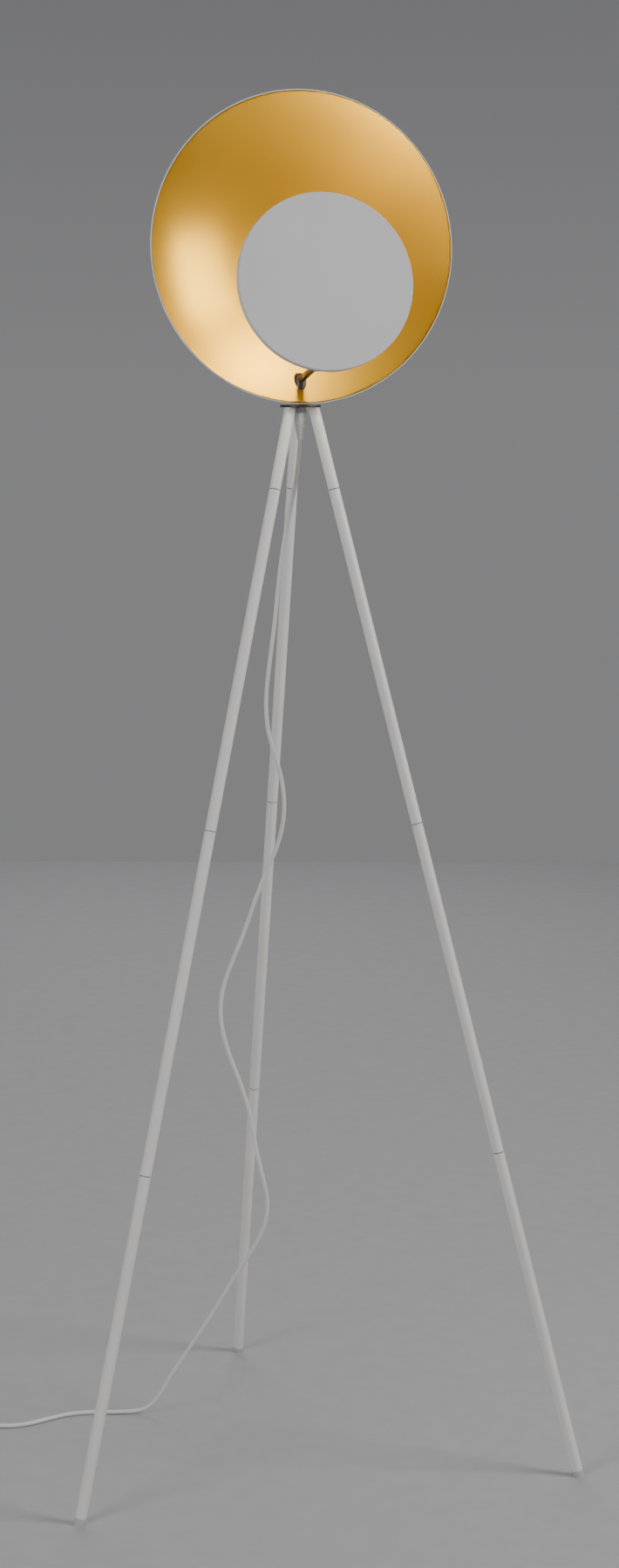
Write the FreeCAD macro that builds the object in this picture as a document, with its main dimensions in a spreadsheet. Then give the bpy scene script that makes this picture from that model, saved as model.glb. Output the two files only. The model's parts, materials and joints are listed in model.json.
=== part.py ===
"""Tripod floor lamp: a tilted dish that throws back the light of one small bulb hidden behind a round front disc.

Everything is in millimetres, +Z up. The dish faces -Y, the odd leg stands at +Y, and the lamp is the same on both
sides of X = 0. The origin lies on the floor under the middle of the lamp's box, cord left out.
Angles are in degrees. Radii and lengths that can be set by themselves are the cells of the sheet "sizes".
"""
import FreeCAD, Part
import math
import os
from types import SimpleNamespace

import Sketcher

SIZES = (
    # alias, value, meaning
    ("tube_diameter", 13.0, "outside diameter of the leg tubes"),
    ("tube_wall", 1.0, "wall of the leg tubes"),
    ("section_length", 400.0, "one of the three screwed sections of a leg, seam to seam"),
    ("stub_length", 97.0, "fixed top length of a leg under the hub plate"),
    ("splay", 14.7, "angle of a leg from the vertical"),
    ("stub_offset", 16.0, "hub axis to leg axis, at the underside of the hub plate"),
    ("joiner_length", 44.0, "threaded stud inside each seam"),
    ("seam_collar", 0.8, "thickness of the collar that shows at a seam"),
    ("seam_step", 0.3, "how far the collar stands inside the tube's outside"),
    ("slip_gap", 0.1, "radial gap between a stud or a spigot and its tube"),
    ("foot_height", 7.0, "plastic foot below the tube, along the leg"),
    ("foot_lip", 0.4, "how far the foot stands proud of the tube"),
    ("foot_plug", 12.0, "foot's length inside the tube"),
    ("hub_diameter", 47.0, "hub plate"),
    ("hub_thickness", 3.0, "hub plate"),
    ("spigot_length", 30.0, "peg of the hub plate in each leg"),
    ("stem_diameter", 8.0, "hollow swivel stem"),
    ("stem_bore", 5.6, "wire way through the stem"),
    ("stem_drop", 14.0, "stem below the hub plate"),
    ("stem_rise", 24.0, "top of the knuckle's bearing above the hub plate"),
    ("stem_lip", 1.2, "stem above the ring's groove"),
    ("stem_flange_diameter", 18.0, "stem's shoulder on the hub plate"),
    ("stem_flange_thickness", 1.5, "stem's shoulder on the hub plate"),
    ("nut_across_flats", 13.0, "nut under the hub plate"),
    ("nut_height", 5.0, "nut under the hub plate"),
    ("washer_thickness", 1.0, "washer under the hub plate"),
    ("friction_thickness", 0.5, "friction washer of the swivel"),
    ("axial_gap", 0.1, "end play of the swivel"),
    ("running_gap", 0.05, "radial gap of the swivel and of the hinge"),
    ("free_gap", 0.3, "gap between pieces that only pass each other"),
    ("circlip_thickness", 0.8, "ring that holds the head on the stem"),
    ("circlip_depth", 0.4, "depth of the ring's groove"),
    ("grip_length", 31.0, "cord grip under the stem"),
    ("grip_cup", 7.7, "depth of the grip's cup for the stem"),
    ("grip_wall", 3.0, "cord grip's wall round the stem"),
    ("grip_tip_wall", 1.1, "cord grip's rim round the cord"),
    ("dish_diameter", 355.0, "dish over its rolled rim"),
    ("dish_depth", 60.0, "dish, rim plane to the middle of its back"),
    ("dish_sheet", 1.2, "dish metal"),
    ("dish_bead", 1.5, "radius of the rolled rim"),
    ("dish_tilt", 1.9, "how far the dish looks up"),
    ("dish_setback", -12.0, "rim plane's middle behind the hub axis, so negative is in front"),
    ("dish_lift", 0.5, "gap between the hub plate and the dish's rim"),
    ("saddle_diameter", 26.0, "cast wedge between the hub and the dish"),
    ("shank_diameter", 12.0, "knuckle's shank through the dish and the saddle"),
    ("grub_diameter", 4.0, "locking screw in the back of the saddle"),
    ("grub_height", 9.0, "locking screw above the saddle's foot"),
    ("knuckle_diameter", 14.0, "knuckle inside the dish"),
    ("knuckle_top", 4.0, "top of the knuckle's lid above the arm tube, at the hub axis"),
    ("knuckle_cavity", 10.2, "wire space in the knuckle"),
    ("cap_thickness", 2.0, "lid of the knuckle"),
    ("cap_plug", 0.8, "lid's plug in the wire space"),
    ("arm_diameter", 8.0, "arm tube"),
    ("arm_bore", 5.6, "arm tube"),
    ("arm_rise", 12.0, "slope of the arm"),
    ("arm_height", 28.0, "arm axis above the hub plate, at the hub axis"),
    ("arm_seat", 3.0, "arm's end short of the holder's axis"),
    ("arm_reach", 72.0, "hub axis to the lamp holder's axis"),
    ("block_diameter", 16.0, "block that joins the arm, the holder and the stay"),
    ("block_below", 6.0, "block below the arm axis"),
    ("block_above", 7.0, "block above the arm axis"),
    ("holder_diameter", 28.0, "lamp holder"),
    ("holder_height", 44.0, "lamp holder"),
    ("holder_taper", 9.0, "height of the holder's coned base"),
    ("socket_wall", 0.9, "brass screw shell"),
    ("bulb_cap_diameter", 14.0, "screw cap of the bulb"),
    ("bulb_cap_length", 23.0, "screw cap of the bulb"),
    ("cap_proud", 1.0, "screw cap above the holder"),
    ("contact_height", 2.0, "contact under the screw cap"),
    ("bulb_neck_top", 34.0, "bulb's white collar, at the globe"),
    ("bulb_neck_height", 16.0, "bulb's white collar"),
    ("bulb_diameter", 45.0, "bulb's globe"),
    ("bulb_wall", 1.0, "bulb's globe"),
    ("disc_diameter", 200.0, "front disc"),
    ("disc_sheet", 1.0, "front disc"),
    ("disc_flange", 9.0, "front disc's returned edge, front to back"),
    ("disc_lean", 10.6, "how far the disc looks up at rest"),
    ("disc_ahead", 108.0, "disc's middle ahead of the dish's rim plane"),
    ("disc_height", 136.5, "disc's middle above the hub plate"),
    ("pivot_drop", 73.0, "hinge below the disc's middle, along the disc"),
    ("pivot_standoff", 9.0, "hinge behind the disc's front face"),
    ("stay_diameter", 6.0, "stay rod"),
    ("stay_seat", 5.0, "stay's start from the holder's axis"),
    ("eye_diameter", 12.0, "eye of the stay and ears of the clevis"),
    ("eye_width", 7.0, "eye of the stay"),
    ("ear_thickness", 2.0, "ears of the clevis"),
    ("clevis_foot", 1.5, "plate that fixes the clevis to the disc"),
    ("clevis_width", 30.0, "plate that fixes the clevis to the disc"),
    ("clevis_height", 16.0, "plate that fixes the clevis to the disc"),
    ("hinge_diameter", 4.0, "hinge screw"),
    ("hinge_head", 7.0, "hinge screw's head"),
    ("thumb_nut_diameter", 11.0, "knurled nut of the hinge"),
    ("thumb_nut_height", 5.0, "knurled nut of the hinge"),
    ("cord_diameter", 5.0, "mains cord"),
    ("coil_width", 55.0, "put-away coil, to the middle of its turns"),
    ("coil_thickness", 13.0, "bundle of turns in the coil"),
    ("switch_length", 66.0, "foot switch"),
    ("switch_width", 30.0, "foot switch"),
    ("switch_height", 19.0, "foot switch"),
    ("switch_split", 9.0, "height of the foot switch's lower half"),
    ("switch_corner", 6.0, "corner radius of the foot switch"),
    ("switch_wall", 2.0, "shell of the foot switch"),
    ("button_diameter", 15.0, "foot switch's push button"),
    ("button_stand", 4.0, "button above the housing"),
    ("button_skirt", 4.5, "button's skirt below the top of the housing"),
    ("unit_length", 26.0, "switch unit under the button"),
    ("unit_width", 14.0, "switch unit under the button"),
    ("unit_height", 9.0, "switch unit under the button"),
    ("plug_length", 36.0, "flat two-pin plug"),
    ("plug_width", 35.0, "flat two-pin plug"),
    ("plug_height", 14.0, "flat two-pin plug"),
    ("plug_corner", 4.5, "corner radius of the plug"),
    ("pin_diameter", 4.0, "plug pins"),
    ("pin_length", 19.0, "plug pins"),
    ("pin_spacing", 19.0, "plug pins"),
)

SECTIONS = 3
LEGS = (("front_left", 210.0), ("front_right", 330.0), ("rear", 90.0))
SECTION_NAMES = ("lower", "middle", "upper")

# The free cord's route, a list chosen by hand. X and Y are from the hub axis, Z from the floor, and the first point
# is replaced in height by the cord grip's tip.
CORD_DROP_ROUTE = (
    (0, 0, 1218), (-2, 2, 1180), (-9, 8, 1141), (-16, 15, 1099), (-21, 20, 1053), (-24, 26, 1005),
    (-29, 31, 959), (-33, 36, 915), (-31, 38, 877), (-21, 40, 845), (-11, 41, 811), (-8, 43, 774),
    (-14, 47, 738), (-28, 53, 703), (-42, 60, 663), (-54, 67, 622), (-68, 73, 586), (-79, 78, 550),
    (-79, 82, 512), (-69, 83, 474), (-54, 82, 436), (-42, 83, 398), (-36, 85, 359), (-27, 85, 320),
    (-18, 87, 283), (-22, 91, 248), (-38, 97, 216), (-57, 105, 184), (-76, 113, 148), (-96, 120, 113),
    (-116, 128, 80), (-134, 134, 50), (-147, 139, 24), (-163, 145, 6), (-189, 152, 2.7),
    (-223, 161, 2.7), (-254, 163, 2.7), (-281, 154, 2.7), (-306, 142, 2.7), (-330, 138, 2.7), (-353, 143, 3.5),
    (-374, 149, 5),
)
# These are counted from the far end of the foot switch.
CORD_LEAD_ROUTE = ((0, 0, 5), (-12.4, 3.9, 4), (-23.2, 14.3, 3), (-27.4, 28.7, 2.7), (-25.9, 41.7, 2.7))
CORD_TAIL_ROUTE = ((-16.8, 77.2, 7.5), (-14.4, 91.1, 7.6), (-10.2, 106.4, 7))
COIL_CENTRE = (5.4, 53.2, 0)
SWITCH_BEARING = 166.2  # the foot switch lies along this bearing from +X


def make_sheet(document):
    """The driving sizes as plain numbers with aliases."""
    sheet = document.addObject("Spreadsheet::Sheet", "sizes")
    for row, (alias, value, meaning) in enumerate(SIZES, start=1):
        sheet.set(f"A{row}", meaning)
        sheet.set(f"B{row}", str(value))
        sheet.setAlias(f"B{row}", alias)
    document.recompute()
    return sheet


document = FreeCAD.newDocument("tripod_floor_lamp")
sizes = make_sheet(document)
size = SimpleNamespace(**{alias: float(sizes.get(alias)) for alias, _, _ in SIZES})
pieces = {}

UP = FreeCAD.Vector(0, 0, 1)
SIDEWAYS = FreeCAD.Vector(1, 0, 0)
SPARE = 60.0  # how far a cutting tool reaches past what it cuts

# ---------------------------------------------------------------- places worked out from the sizes

SPLAY = math.radians(size.splay)
LEG_LENGTH = SECTIONS * size.section_length + size.stub_length
HUB_UNDERSIDE = LEG_LENGTH * math.cos(SPLAY)
HUB_TOP = HUB_UNDERSIDE + size.hub_thickness
FOOT_RADIUS = size.stub_offset + LEG_LENGTH * math.sin(SPLAY)


def hub_axis_y():
    """The hub axis, so that the lamp's box is centred on Y = 0: the feet are ellipses on the floor."""
    across = size.tube_diameter / 2 + size.foot_lip
    along = across / math.cos(SPLAY)
    reach = []
    for _, azimuth in LEGS:
        lean = math.radians(azimuth)
        half = math.hypot(along * math.sin(lean), across * math.cos(lean))
        reach += [FOOT_RADIUS * math.sin(lean) - half, FOOT_RADIUS * math.sin(lean) + half]
    return -(min(reach) + max(reach)) / 2


HUB_Y = hub_axis_y()
HEAD_BASE = HUB_TOP + size.stem_flange_thickness + size.axial_gap + size.friction_thickness

DISH_TILT = math.radians(size.dish_tilt)
DISH_LOOK = FreeCAD.Vector(0, -math.cos(DISH_TILT), math.sin(DISH_TILT))
DISH_EDGE = size.dish_diameter / 2 - size.dish_bead
DISH_SPHERE = (DISH_EDGE**2 + size.dish_depth**2) / (2 * size.dish_depth)
RIM_CENTRE = FreeCAD.Vector(
    0,
    HUB_Y + size.dish_setback,
    HUB_TOP + size.dish_lift + DISH_EDGE * math.cos(DISH_TILT) + size.dish_bead,
)
SPHERE_CENTRE = RIM_CENTRE + DISH_LOOK * (DISH_SPHERE - size.dish_depth)

ARM_RISE = math.radians(size.arm_rise)
ARM_WAY = FreeCAD.Vector(0, -math.cos(ARM_RISE), math.sin(ARM_RISE))
ARM_ROOT = FreeCAD.Vector(0, HUB_Y, HUB_TOP + size.arm_height)
ARM_END = ARM_ROOT + ARM_WAY * (size.arm_reach / math.cos(ARM_RISE))
BLOCK_TOP = ARM_END.z + size.block_above
HOLDER_TOP = BLOCK_TOP + size.holder_height

DISC_CENTRE = FreeCAD.Vector(0, HUB_Y + size.dish_setback - size.disc_ahead, HUB_TOP + size.disc_height)


def facing(centre, look_up):
    """A placement with local Z pointing away from the viewer in front, and local Y down the face."""
    return FreeCAD.Placement(centre, FreeCAD.Rotation(SIDEWAYS, -90 - look_up))


DISH_PLACE = facing(RIM_CENTRE, size.dish_tilt)
DISC_PLACE = facing(DISC_CENTRE, size.disc_lean)
PIVOT = DISC_PLACE.multVec(FreeCAD.Vector(0, size.pivot_drop, size.pivot_standoff))

SPHERE_RADIUS = (
    "((sizes.dish_diameter / 2 - sizes.dish_bead) ^ 2 + sizes.dish_depth ^ 2) / (2 * sizes.dish_depth)"
)


def standing(z, y=0.0, x=0.0):
    """A placement on the hub axis, or beside it, with local Z up."""
    return FreeCAD.Placement(FreeCAD.Vector(x, HUB_Y + y, z), FreeCAD.Rotation())


def pointing(start, way):
    """A placement at start with local Z along way."""
    return FreeCAD.Placement(start, FreeCAD.Rotation(UP, way))


def on_leg(azimuth, distance):
    """A placement on a leg's axis, that far from the floor, with local Z up the leg."""
    outward = FreeCAD.Vector(math.cos(math.radians(azimuth)), math.sin(math.radians(azimuth)), 0)
    climb = UP * math.cos(SPLAY) - outward * math.sin(SPLAY)
    foot = FreeCAD.Vector(0, HUB_Y, 0) + outward * FOOT_RADIUS
    return pointing(foot + climb * distance, climb)


# ---------------------------------------------------------------- ways to make a piece


def bound(kind, name, place, **expressions):
    """A Part primitive whose sizes follow the sheet."""
    solid = document.addObject(kind, name)
    for prop, expression in expressions.items():
        solid.setExpression(prop, expression)
    solid.Placement = place
    return solid


def round_bar(name, place, radius, height):
    return bound("Part::Cylinder", name, place, Radius=radius, Height=height)


def cut(name, base, tool):
    """base without tool."""
    result = document.addObject("Part::Cut", name)
    result.Base = base
    result.Tool = tool
    return result


def common(name, base, tool):
    """What base and tool share."""
    result = document.addObject("Part::Common", name)
    result.Base = base
    result.Tool = tool
    return result


def joined(name, solids):
    """All the solids as one; those that do not touch stay separate solids of one piece."""
    result = document.addObject("Part::MultiFuse", name)
    result.Shapes = list(solids)
    result.Refine = True
    return result


def ring(name, place, outer, bore, height):
    """A tube or washer. outer and bore are radii."""
    outside = round_bar(name + "_outside", place, outer, height)
    inside = round_bar(name + "_bore", place, bore, height)
    return cut(name, outside, inside)


def turned(name, place, outline):
    """A body turned about its local Z. outline lists (radius, height) round the half section, as expressions."""
    body = document.addObject("PartDesign::Body", name)
    sketch = body.newObject("Sketcher::SketchObject", name + "_section")
    plane = [feature for feature in body.Origin.OriginFeatures if feature.Role == "XZ_Plane"][0]
    sketch.AttachmentSupport = [(plane, "")]
    sketch.MapMode = "FlatFace"
    count = len(outline)
    corners = [
        FreeCAD.Vector(math.cos(2 * math.pi * i / count) + 2, math.sin(2 * math.pi * i / count), 0)
        for i in range(count)
    ]
    for i, corner in enumerate(corners):
        sketch.addGeometry(Part.LineSegment(corner, corners[(i + 1) % count]))
    for i in range(count):
        sketch.addConstraint(Sketcher.Constraint("Coincident", i, 2, (i + 1) % count, 1))
    for i, (radius, height) in enumerate(outline):
        for direction, expression in (("DistanceX", radius), ("DistanceY", height)):
            number = sketch.addConstraint(Sketcher.Constraint(direction, -1, 1, i, 1, 0.0))
            sketch.setExpression(f"Constraints[{number}]", expression)
    turn = body.newObject("PartDesign::Revolution", name + "_turn")
    turn.Profile = sketch
    turn.ReferenceAxis = (sketch, ["V_Axis"])
    turn.Angle = 360
    body.Placement = place
    return body


def rounded_block(name, place, length, width, height, corner):
    """A flat block with upright round corners, centred on its placement in X and Y, made of two slabs and four
    posts. All four sizes are expressions."""
    solids = []
    for suffix, reach_x, reach_y in (("long", length, f"({width}) - 2 * ({corner})"),
                                     ("wide", f"({length}) - 2 * ({corner})", width)):
        slab = bound("Part::Box", f"{name}_{suffix}", FreeCAD.Placement(),
                     Length=reach_x, Width=reach_y, Height=height)
        slab.setExpression("Placement.Base.x", f"-({reach_x}) / 2")
        slab.setExpression("Placement.Base.y", f"-({reach_y}) / 2")
        solids.append(slab)
    for side_x in (-1, 1):
        for side_y in (-1, 1):
            post = round_bar(f"{name}_post", FreeCAD.Placement(), corner, height)
            post.setExpression("Placement.Base.x", f"{side_x} * (({length}) / 2 - ({corner}))")
            post.setExpression("Placement.Base.y", f"{side_y} * (({width}) / 2 - ({corner}))")
            solids.append(post)
    block = joined(name, solids)
    block.Placement = place
    return block


def keep(name, solid):
    """Names a finished piece; its label is the name of its file."""
    solid.Label = name
    pieces[name] = solid
    return solid


# ---------------------------------------------------------------- legs

TUBE = "sizes.tube_diameter / 2"
BORE = "sizes.tube_diameter / 2 - sizes.tube_wall"
SLIP_FIT = "sizes.tube_diameter / 2 - sizes.tube_wall - sizes.slip_gap"


def slab(name, low_z):
    """A wide block with its underside at low_z, to trim slanting tubes flat."""
    block = document.addObject("Part::Box", name)
    block.Length = block.Width = 4 * FOOT_RADIUS
    block.Height = SPARE
    block.Placement.Base = FreeCAD.Vector(-2 * FOOT_RADIUS, HUB_Y - 2 * FOOT_RADIUS, low_z)
    return block


def make_leg(leg, azimuth):
    """Three screwed tubes and the fixed stub of one leg, with the studs in its seams and its plastic foot."""
    lower = size.foot_height
    for number, section in enumerate(SECTION_NAMES):
        start = number * size.section_length + (size.seam_collar / 2 if number else lower)
        length = "sizes.section_length - sizes.seam_collar"
        if not number:
            length = "sizes.section_length - sizes.seam_collar / 2 - sizes.foot_height"
        name = f"leg_{section}_{leg}"
        keep(name, ring(name + "_tube", on_leg(azimuth, start), TUBE, BORE, length))

    name = f"leg_stub_{leg}"
    start = SECTIONS * size.section_length + size.seam_collar / 2
    long_stub = ring(name + "_tube", on_leg(azimuth, start), TUBE, BORE, "sizes.stub_length + sizes.tube_diameter")
    keep(name, cut(name + "_trimmed", long_stub, slab(name + "_trim", HUB_UNDERSIDE)))

    solids = []
    for number in range(1, SECTIONS + 1):
        seam = number * size.section_length
        stud_start = on_leg(azimuth, seam - size.joiner_length / 2)
        collar_start = on_leg(azimuth, seam - size.seam_collar / 2)
        solids.append(round_bar("stud", stud_start, SLIP_FIT, "sizes.joiner_length"))
        solids.append(round_bar("collar", collar_start, TUBE + " - sizes.seam_step", "sizes.seam_collar"))
    name = f"leg_joiners_{leg}"
    keep(name, joined(name, solids))

    name = f"foot_{leg}"
    tip = round_bar(name + "_tip", on_leg(azimuth, -size.tube_diameter), TUBE + " + sizes.foot_lip",
                    "sizes.tube_diameter + sizes.foot_height")
    plug = round_bar(name + "_plug", on_leg(azimuth, size.foot_height), SLIP_FIT, "sizes.foot_plug")
    whole = joined(name + "_whole", (tip, plug))
    keep(name, cut(name, whole, slab(name + "_floor", -SPARE)))


# ---------------------------------------------------------------- hub and swivel

STEM = "sizes.stem_diameter / 2"
STEM_RUNNING = "sizes.stem_diameter / 2 + sizes.running_gap"


def make_hub_plate():
    """The dark disc with a slanting peg for each leg and a hole for the stem."""
    solids = [round_bar("hub_disc", standing(HUB_UNDERSIDE), "sizes.hub_diameter / 2", "sizes.hub_thickness")]
    for leg, azimuth in LEGS:
        start = on_leg(azimuth, LEG_LENGTH - size.spigot_length)
        solids.append(round_bar(f"spigot_{leg}", start, SLIP_FIT, "sizes.spigot_length + sizes.hub_thickness / 3"))
    hole = round_bar("hub_hole", standing(HUB_UNDERSIDE - 1), STEM_RUNNING, "sizes.hub_thickness + 2")
    keep("hub_plate", cut("hub_plate", joined("hub_solid", solids), hole))


def make_stem():
    """The hollow swivel stem, heights from the hub plate's underside: shoulder, bearing and ring groove."""
    top = "sizes.hub_thickness + sizes.stem_rise + sizes.axial_gap"
    groove_top = top + " + sizes.circlip_thickness"
    shoulder = "sizes.hub_thickness"
    flange = "sizes.stem_flange_diameter / 2"
    flange_top = "sizes.hub_thickness + sizes.stem_flange_thickness"
    groove = STEM + " - sizes.circlip_depth"
    outline = (
        ("sizes.stem_bore / 2", "-sizes.stem_drop"),
        (STEM, "-sizes.stem_drop"),
        (STEM, shoulder),
        (flange, shoulder),
        (flange, flange_top),
        (STEM, flange_top),
        (STEM, top),
        (groove, top),
        (groove, groove_top),
        (STEM, groove_top),
        (STEM, groove_top + " + sizes.stem_lip"),
        ("sizes.stem_bore / 2", groove_top + " + sizes.stem_lip"),
    )
    keep("swivel_stem", turned("swivel_stem", standing(HUB_UNDERSIDE), outline))


def make_stem_fasteners():
    """Washer and hexagon nut under the plate, and the ring in the groove above."""
    washer_z = HUB_UNDERSIDE - size.washer_thickness
    washer = ring("stem_washer", standing(washer_z), "sizes.nut_across_flats / 2", STEM_RUNNING,
                  "sizes.washer_thickness")
    keep("stem_washer", washer)
    nut_place = standing(washer_z - size.nut_height)
    nut = bound("Part::Prism", "stem_nut_outside", nut_place, Circumradius="sizes.nut_across_flats / 2 / cos(30)",
                Height="sizes.nut_height")
    nut.Polygon = 6
    keep("stem_nut", cut("stem_nut", nut, round_bar("stem_nut_bore", nut_place, STEM_RUNNING, "sizes.nut_height")))
    clip_place = standing(HUB_TOP + size.stem_rise + size.axial_gap)
    circlip = ring("stem_circlip", clip_place, "sizes.knuckle_cavity / 2 - sizes.free_gap",
                   STEM + " - sizes.circlip_depth", "sizes.circlip_thickness")
    keep("stem_circlip", circlip)
    friction_place = standing(HEAD_BASE - size.friction_thickness)
    keep("friction_washer", ring("friction_washer", friction_place, "sizes.stem_flange_diameter / 2", STEM_RUNNING,
                                 "sizes.friction_thickness"))


def make_cord_grip():
    """The tapered grip screwed on the stem, heights from its tip; the cord meets its closed tip."""
    outer = STEM + " + sizes.grip_wall"
    cup = "sizes.grip_length - sizes.grip_cup"
    outline = (
        ("0", "0"),
        ("sizes.cord_diameter / 2 + sizes.grip_tip_wall", "0"),
        (outer, cup),
        (outer, "sizes.grip_length"),
        (STEM_RUNNING, "sizes.grip_length"),
        (STEM_RUNNING, cup),
        ("0", cup),
    )
    keep("cord_grip", turned("cord_grip", standing(grip_tip()), outline))


def grip_tip():
    """Height of the cord grip's tip: its cup holds the lower end of the stem."""
    return HUB_UNDERSIDE - size.stem_drop - (size.grip_length - size.grip_cup)


def make_stem_lead():
    """The sheathed wires in the stem, sealed in."""
    length = "sizes.stem_drop + sizes.hub_thickness + sizes.stem_rise"
    place = standing(HUB_UNDERSIDE - size.stem_drop)
    keep("stem_lead", round_bar("stem_lead", place, "sizes.stem_bore / 2", length))


# ---------------------------------------------------------------- head


def dish_ball(name, offset):
    """The ball that the dish's sheet follows, larger or smaller by offset."""
    return bound("Part::Sphere", name, FreeCAD.Placement(SPHERE_CENTRE, DISH_PLACE.Rotation),
                 Radius=f"{SPHERE_RADIUS} {offset}")


def make_dish():
    """A shallow bowl of one radius with a rolled rim and an upright hole for the knuckle's shank."""
    shell = cut("dish_ball", dish_ball("dish_outer", "+ sizes.dish_sheet / 2"),
                dish_ball("dish_inner", "- sizes.dish_sheet / 2"))
    behind = round_bar("dish_behind_rim", DISH_PLACE, "sizes.dish_diameter / 2 + 20", "sizes.dish_depth + 20")
    bowl = common("dish_bowl", shell, behind)
    bead = bound("Part::Torus", "dish_bead", DISH_PLACE, Radius1="sizes.dish_diameter / 2 - sizes.dish_bead",
                 Radius2="sizes.dish_bead")
    whole = joined("dish_whole", (bowl, bead))
    hole = round_bar("dish_hole", standing(HUB_TOP), "sizes.shank_diameter / 2 + sizes.slip_gap",
                     "sizes.saddle_diameter * 3")
    keep("dish", cut("dish", whole, hole))


def make_saddle():
    """The wedge between hub and dish: an upright round bar whose top fits the back of the dish."""
    bar = round_bar("saddle_bar", standing(HEAD_BASE), "sizes.saddle_diameter / 2", "sizes.saddle_diameter * 3")
    wedge = cut("saddle_wedge", bar, dish_ball("saddle_ball", "+ sizes.dish_sheet / 2"))
    bore = round_bar("saddle_bore", standing(HEAD_BASE - 1), "sizes.shank_diameter / 2 + sizes.running_gap",
                     "sizes.saddle_diameter * 3")
    bored = cut("saddle_bored", wedge, bore)
    keep("saddle", cut("saddle", bored, grub_bar("saddle_grub_hole")))
    keep("saddle_grub_screw", grub_bar("saddle_grub_screw"))


def grub_bar(name):
    """A level bar through the back of the saddle, from the shank outwards."""
    start = FreeCAD.Vector(0, HUB_Y + size.shank_diameter / 2, HEAD_BASE + size.grub_height)
    return round_bar(name, pointing(start, FreeCAD.Vector(0, 1, 0)), "sizes.grub_diameter / 2",
                     "(sizes.saddle_diameter - sizes.shank_diameter) / 2")


LID_TOP = "sizes.arm_height + sizes.arm_diameter / 2 + sizes.knuckle_top"


def make_knuckle():
    """Shank through saddle and dish, and a round head seated on the dish, hollow for the stem and the wires."""
    height = (
        LID_TOP + " - sizes.cap_thickness - sizes.stem_flange_thickness - sizes.axial_gap"
        " - sizes.friction_thickness"
    )
    shank = round_bar("knuckle_shank", standing(HEAD_BASE), "sizes.shank_diameter / 2", height)
    bar = round_bar("knuckle_bar", standing(HEAD_BASE), "sizes.knuckle_diameter / 2", height)
    head = common("knuckle_head", bar, dish_ball("knuckle_ball", "- sizes.dish_sheet / 2"))
    solid = joined("knuckle_solid", (shank, head))
    bearing = round_bar("knuckle_bearing", standing(HUB_TOP), STEM_RUNNING, "sizes.stem_rise + 1")
    cavity = round_bar("knuckle_hollow", standing(HUB_TOP + size.stem_rise), "sizes.knuckle_cavity / 2",
                       LID_TOP)
    socket = round_bar("knuckle_socket", pointing(ARM_ROOT, ARM_WAY), "sizes.arm_diameter / 2",
                       "sizes.knuckle_diameter * 2")
    keep("knuckle", cut("knuckle", solid, joined("knuckle_tools", (bearing, cavity, socket))))


def make_knuckle_cap():
    """The knuckle's lid with a short plug, heights from the underside of its rim."""
    plug = "sizes.knuckle_cavity / 2 - sizes.slip_gap"
    rim = "sizes.shank_diameter / 2"
    outline = (
        ("0", "-sizes.cap_plug"),
        (plug, "-sizes.cap_plug"),
        (plug, "0"),
        (rim, "0"),
        (rim, "sizes.cap_thickness / 2"),
        (rim + " - sizes.cap_thickness / 2", "sizes.cap_thickness"),
        ("0", "sizes.cap_thickness"),
    )
    lid_top = size.arm_height + size.arm_diameter / 2 + size.knuckle_top
    place = standing(HUB_TOP + lid_top - size.cap_thickness)
    keep("knuckle_cap", turned("knuckle_cap", place, outline))


def make_arm():
    """The straight tube from the knuckle's wire space to the block, and the wires in it."""
    start = size.knuckle_cavity / 2 + size.free_gap
    place = pointing(ARM_ROOT + ARM_WAY * start, ARM_WAY)
    length = (
        "sizes.arm_reach / cos(sizes.arm_rise) - sizes.knuckle_cavity / 2 - sizes.free_gap - sizes.arm_seat"
    )
    keep("arm", ring("arm_tube", place, "sizes.arm_diameter / 2", "sizes.arm_bore / 2", length))
    keep("arm_lead", round_bar("arm_lead", place, "sizes.arm_bore / 2", length))


def stay_way():
    """Direction of the stay, from the block to the hinge."""
    return (PIVOT - ARM_END).normalize()


def make_block():
    """The round block that the arm plugs into, with the wire way up to the holder and the stay's socket."""
    bar = round_bar("block_bar", standing(ARM_END.z - size.block_below, -size.arm_reach), "sizes.block_diameter / 2",
                    "sizes.block_below + sizes.block_above")
    arm_socket = round_bar("block_arm_socket", pointing(ARM_END - ARM_WAY * size.arm_seat, ARM_WAY * -1),
                           "sizes.arm_diameter / 2", "sizes.block_diameter")
    stay_socket = round_bar("block_stay_socket", pointing(ARM_END + stay_way() * size.stay_seat, stay_way()),
                            "sizes.stay_diameter / 2", "sizes.block_diameter")
    wires = round_bar("block_wire_way", standing(ARM_END.z, -size.arm_reach), "sizes.arm_bore / 2",
                      "sizes.block_diameter")
    keep("holder_block", cut("holder_block", bar, joined("block_tools", (arm_socket, stay_socket, wires))))


def make_lamp_holder():
    """The upright lamp holder, heights from the block, and its brass screw shell."""
    outer = "sizes.holder_diameter / 2"
    socket = "sizes.bulb_cap_diameter / 2 + sizes.slip_gap + sizes.socket_wall"
    floor = "sizes.holder_height + sizes.cap_proud - sizes.bulb_cap_length - sizes.contact_height"
    outline = (
        ("sizes.arm_bore / 2", "0"),
        ("sizes.block_diameter / 2", "0"),
        (outer, "sizes.holder_taper"),
        (outer, "sizes.holder_height"),
        (socket, "sizes.holder_height"),
        (socket, floor),
        ("sizes.arm_bore / 2", floor),
    )
    keep("lamp_holder", turned("lamp_holder", standing(BLOCK_TOP, -size.arm_reach), outline))
    shell_place = standing(HOLDER_TOP - size.bulb_cap_length, -size.arm_reach)
    keep("socket_shell", ring("socket_shell", shell_place, socket,
                              "sizes.bulb_cap_diameter / 2 + sizes.slip_gap", "sizes.bulb_cap_length"))


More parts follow.
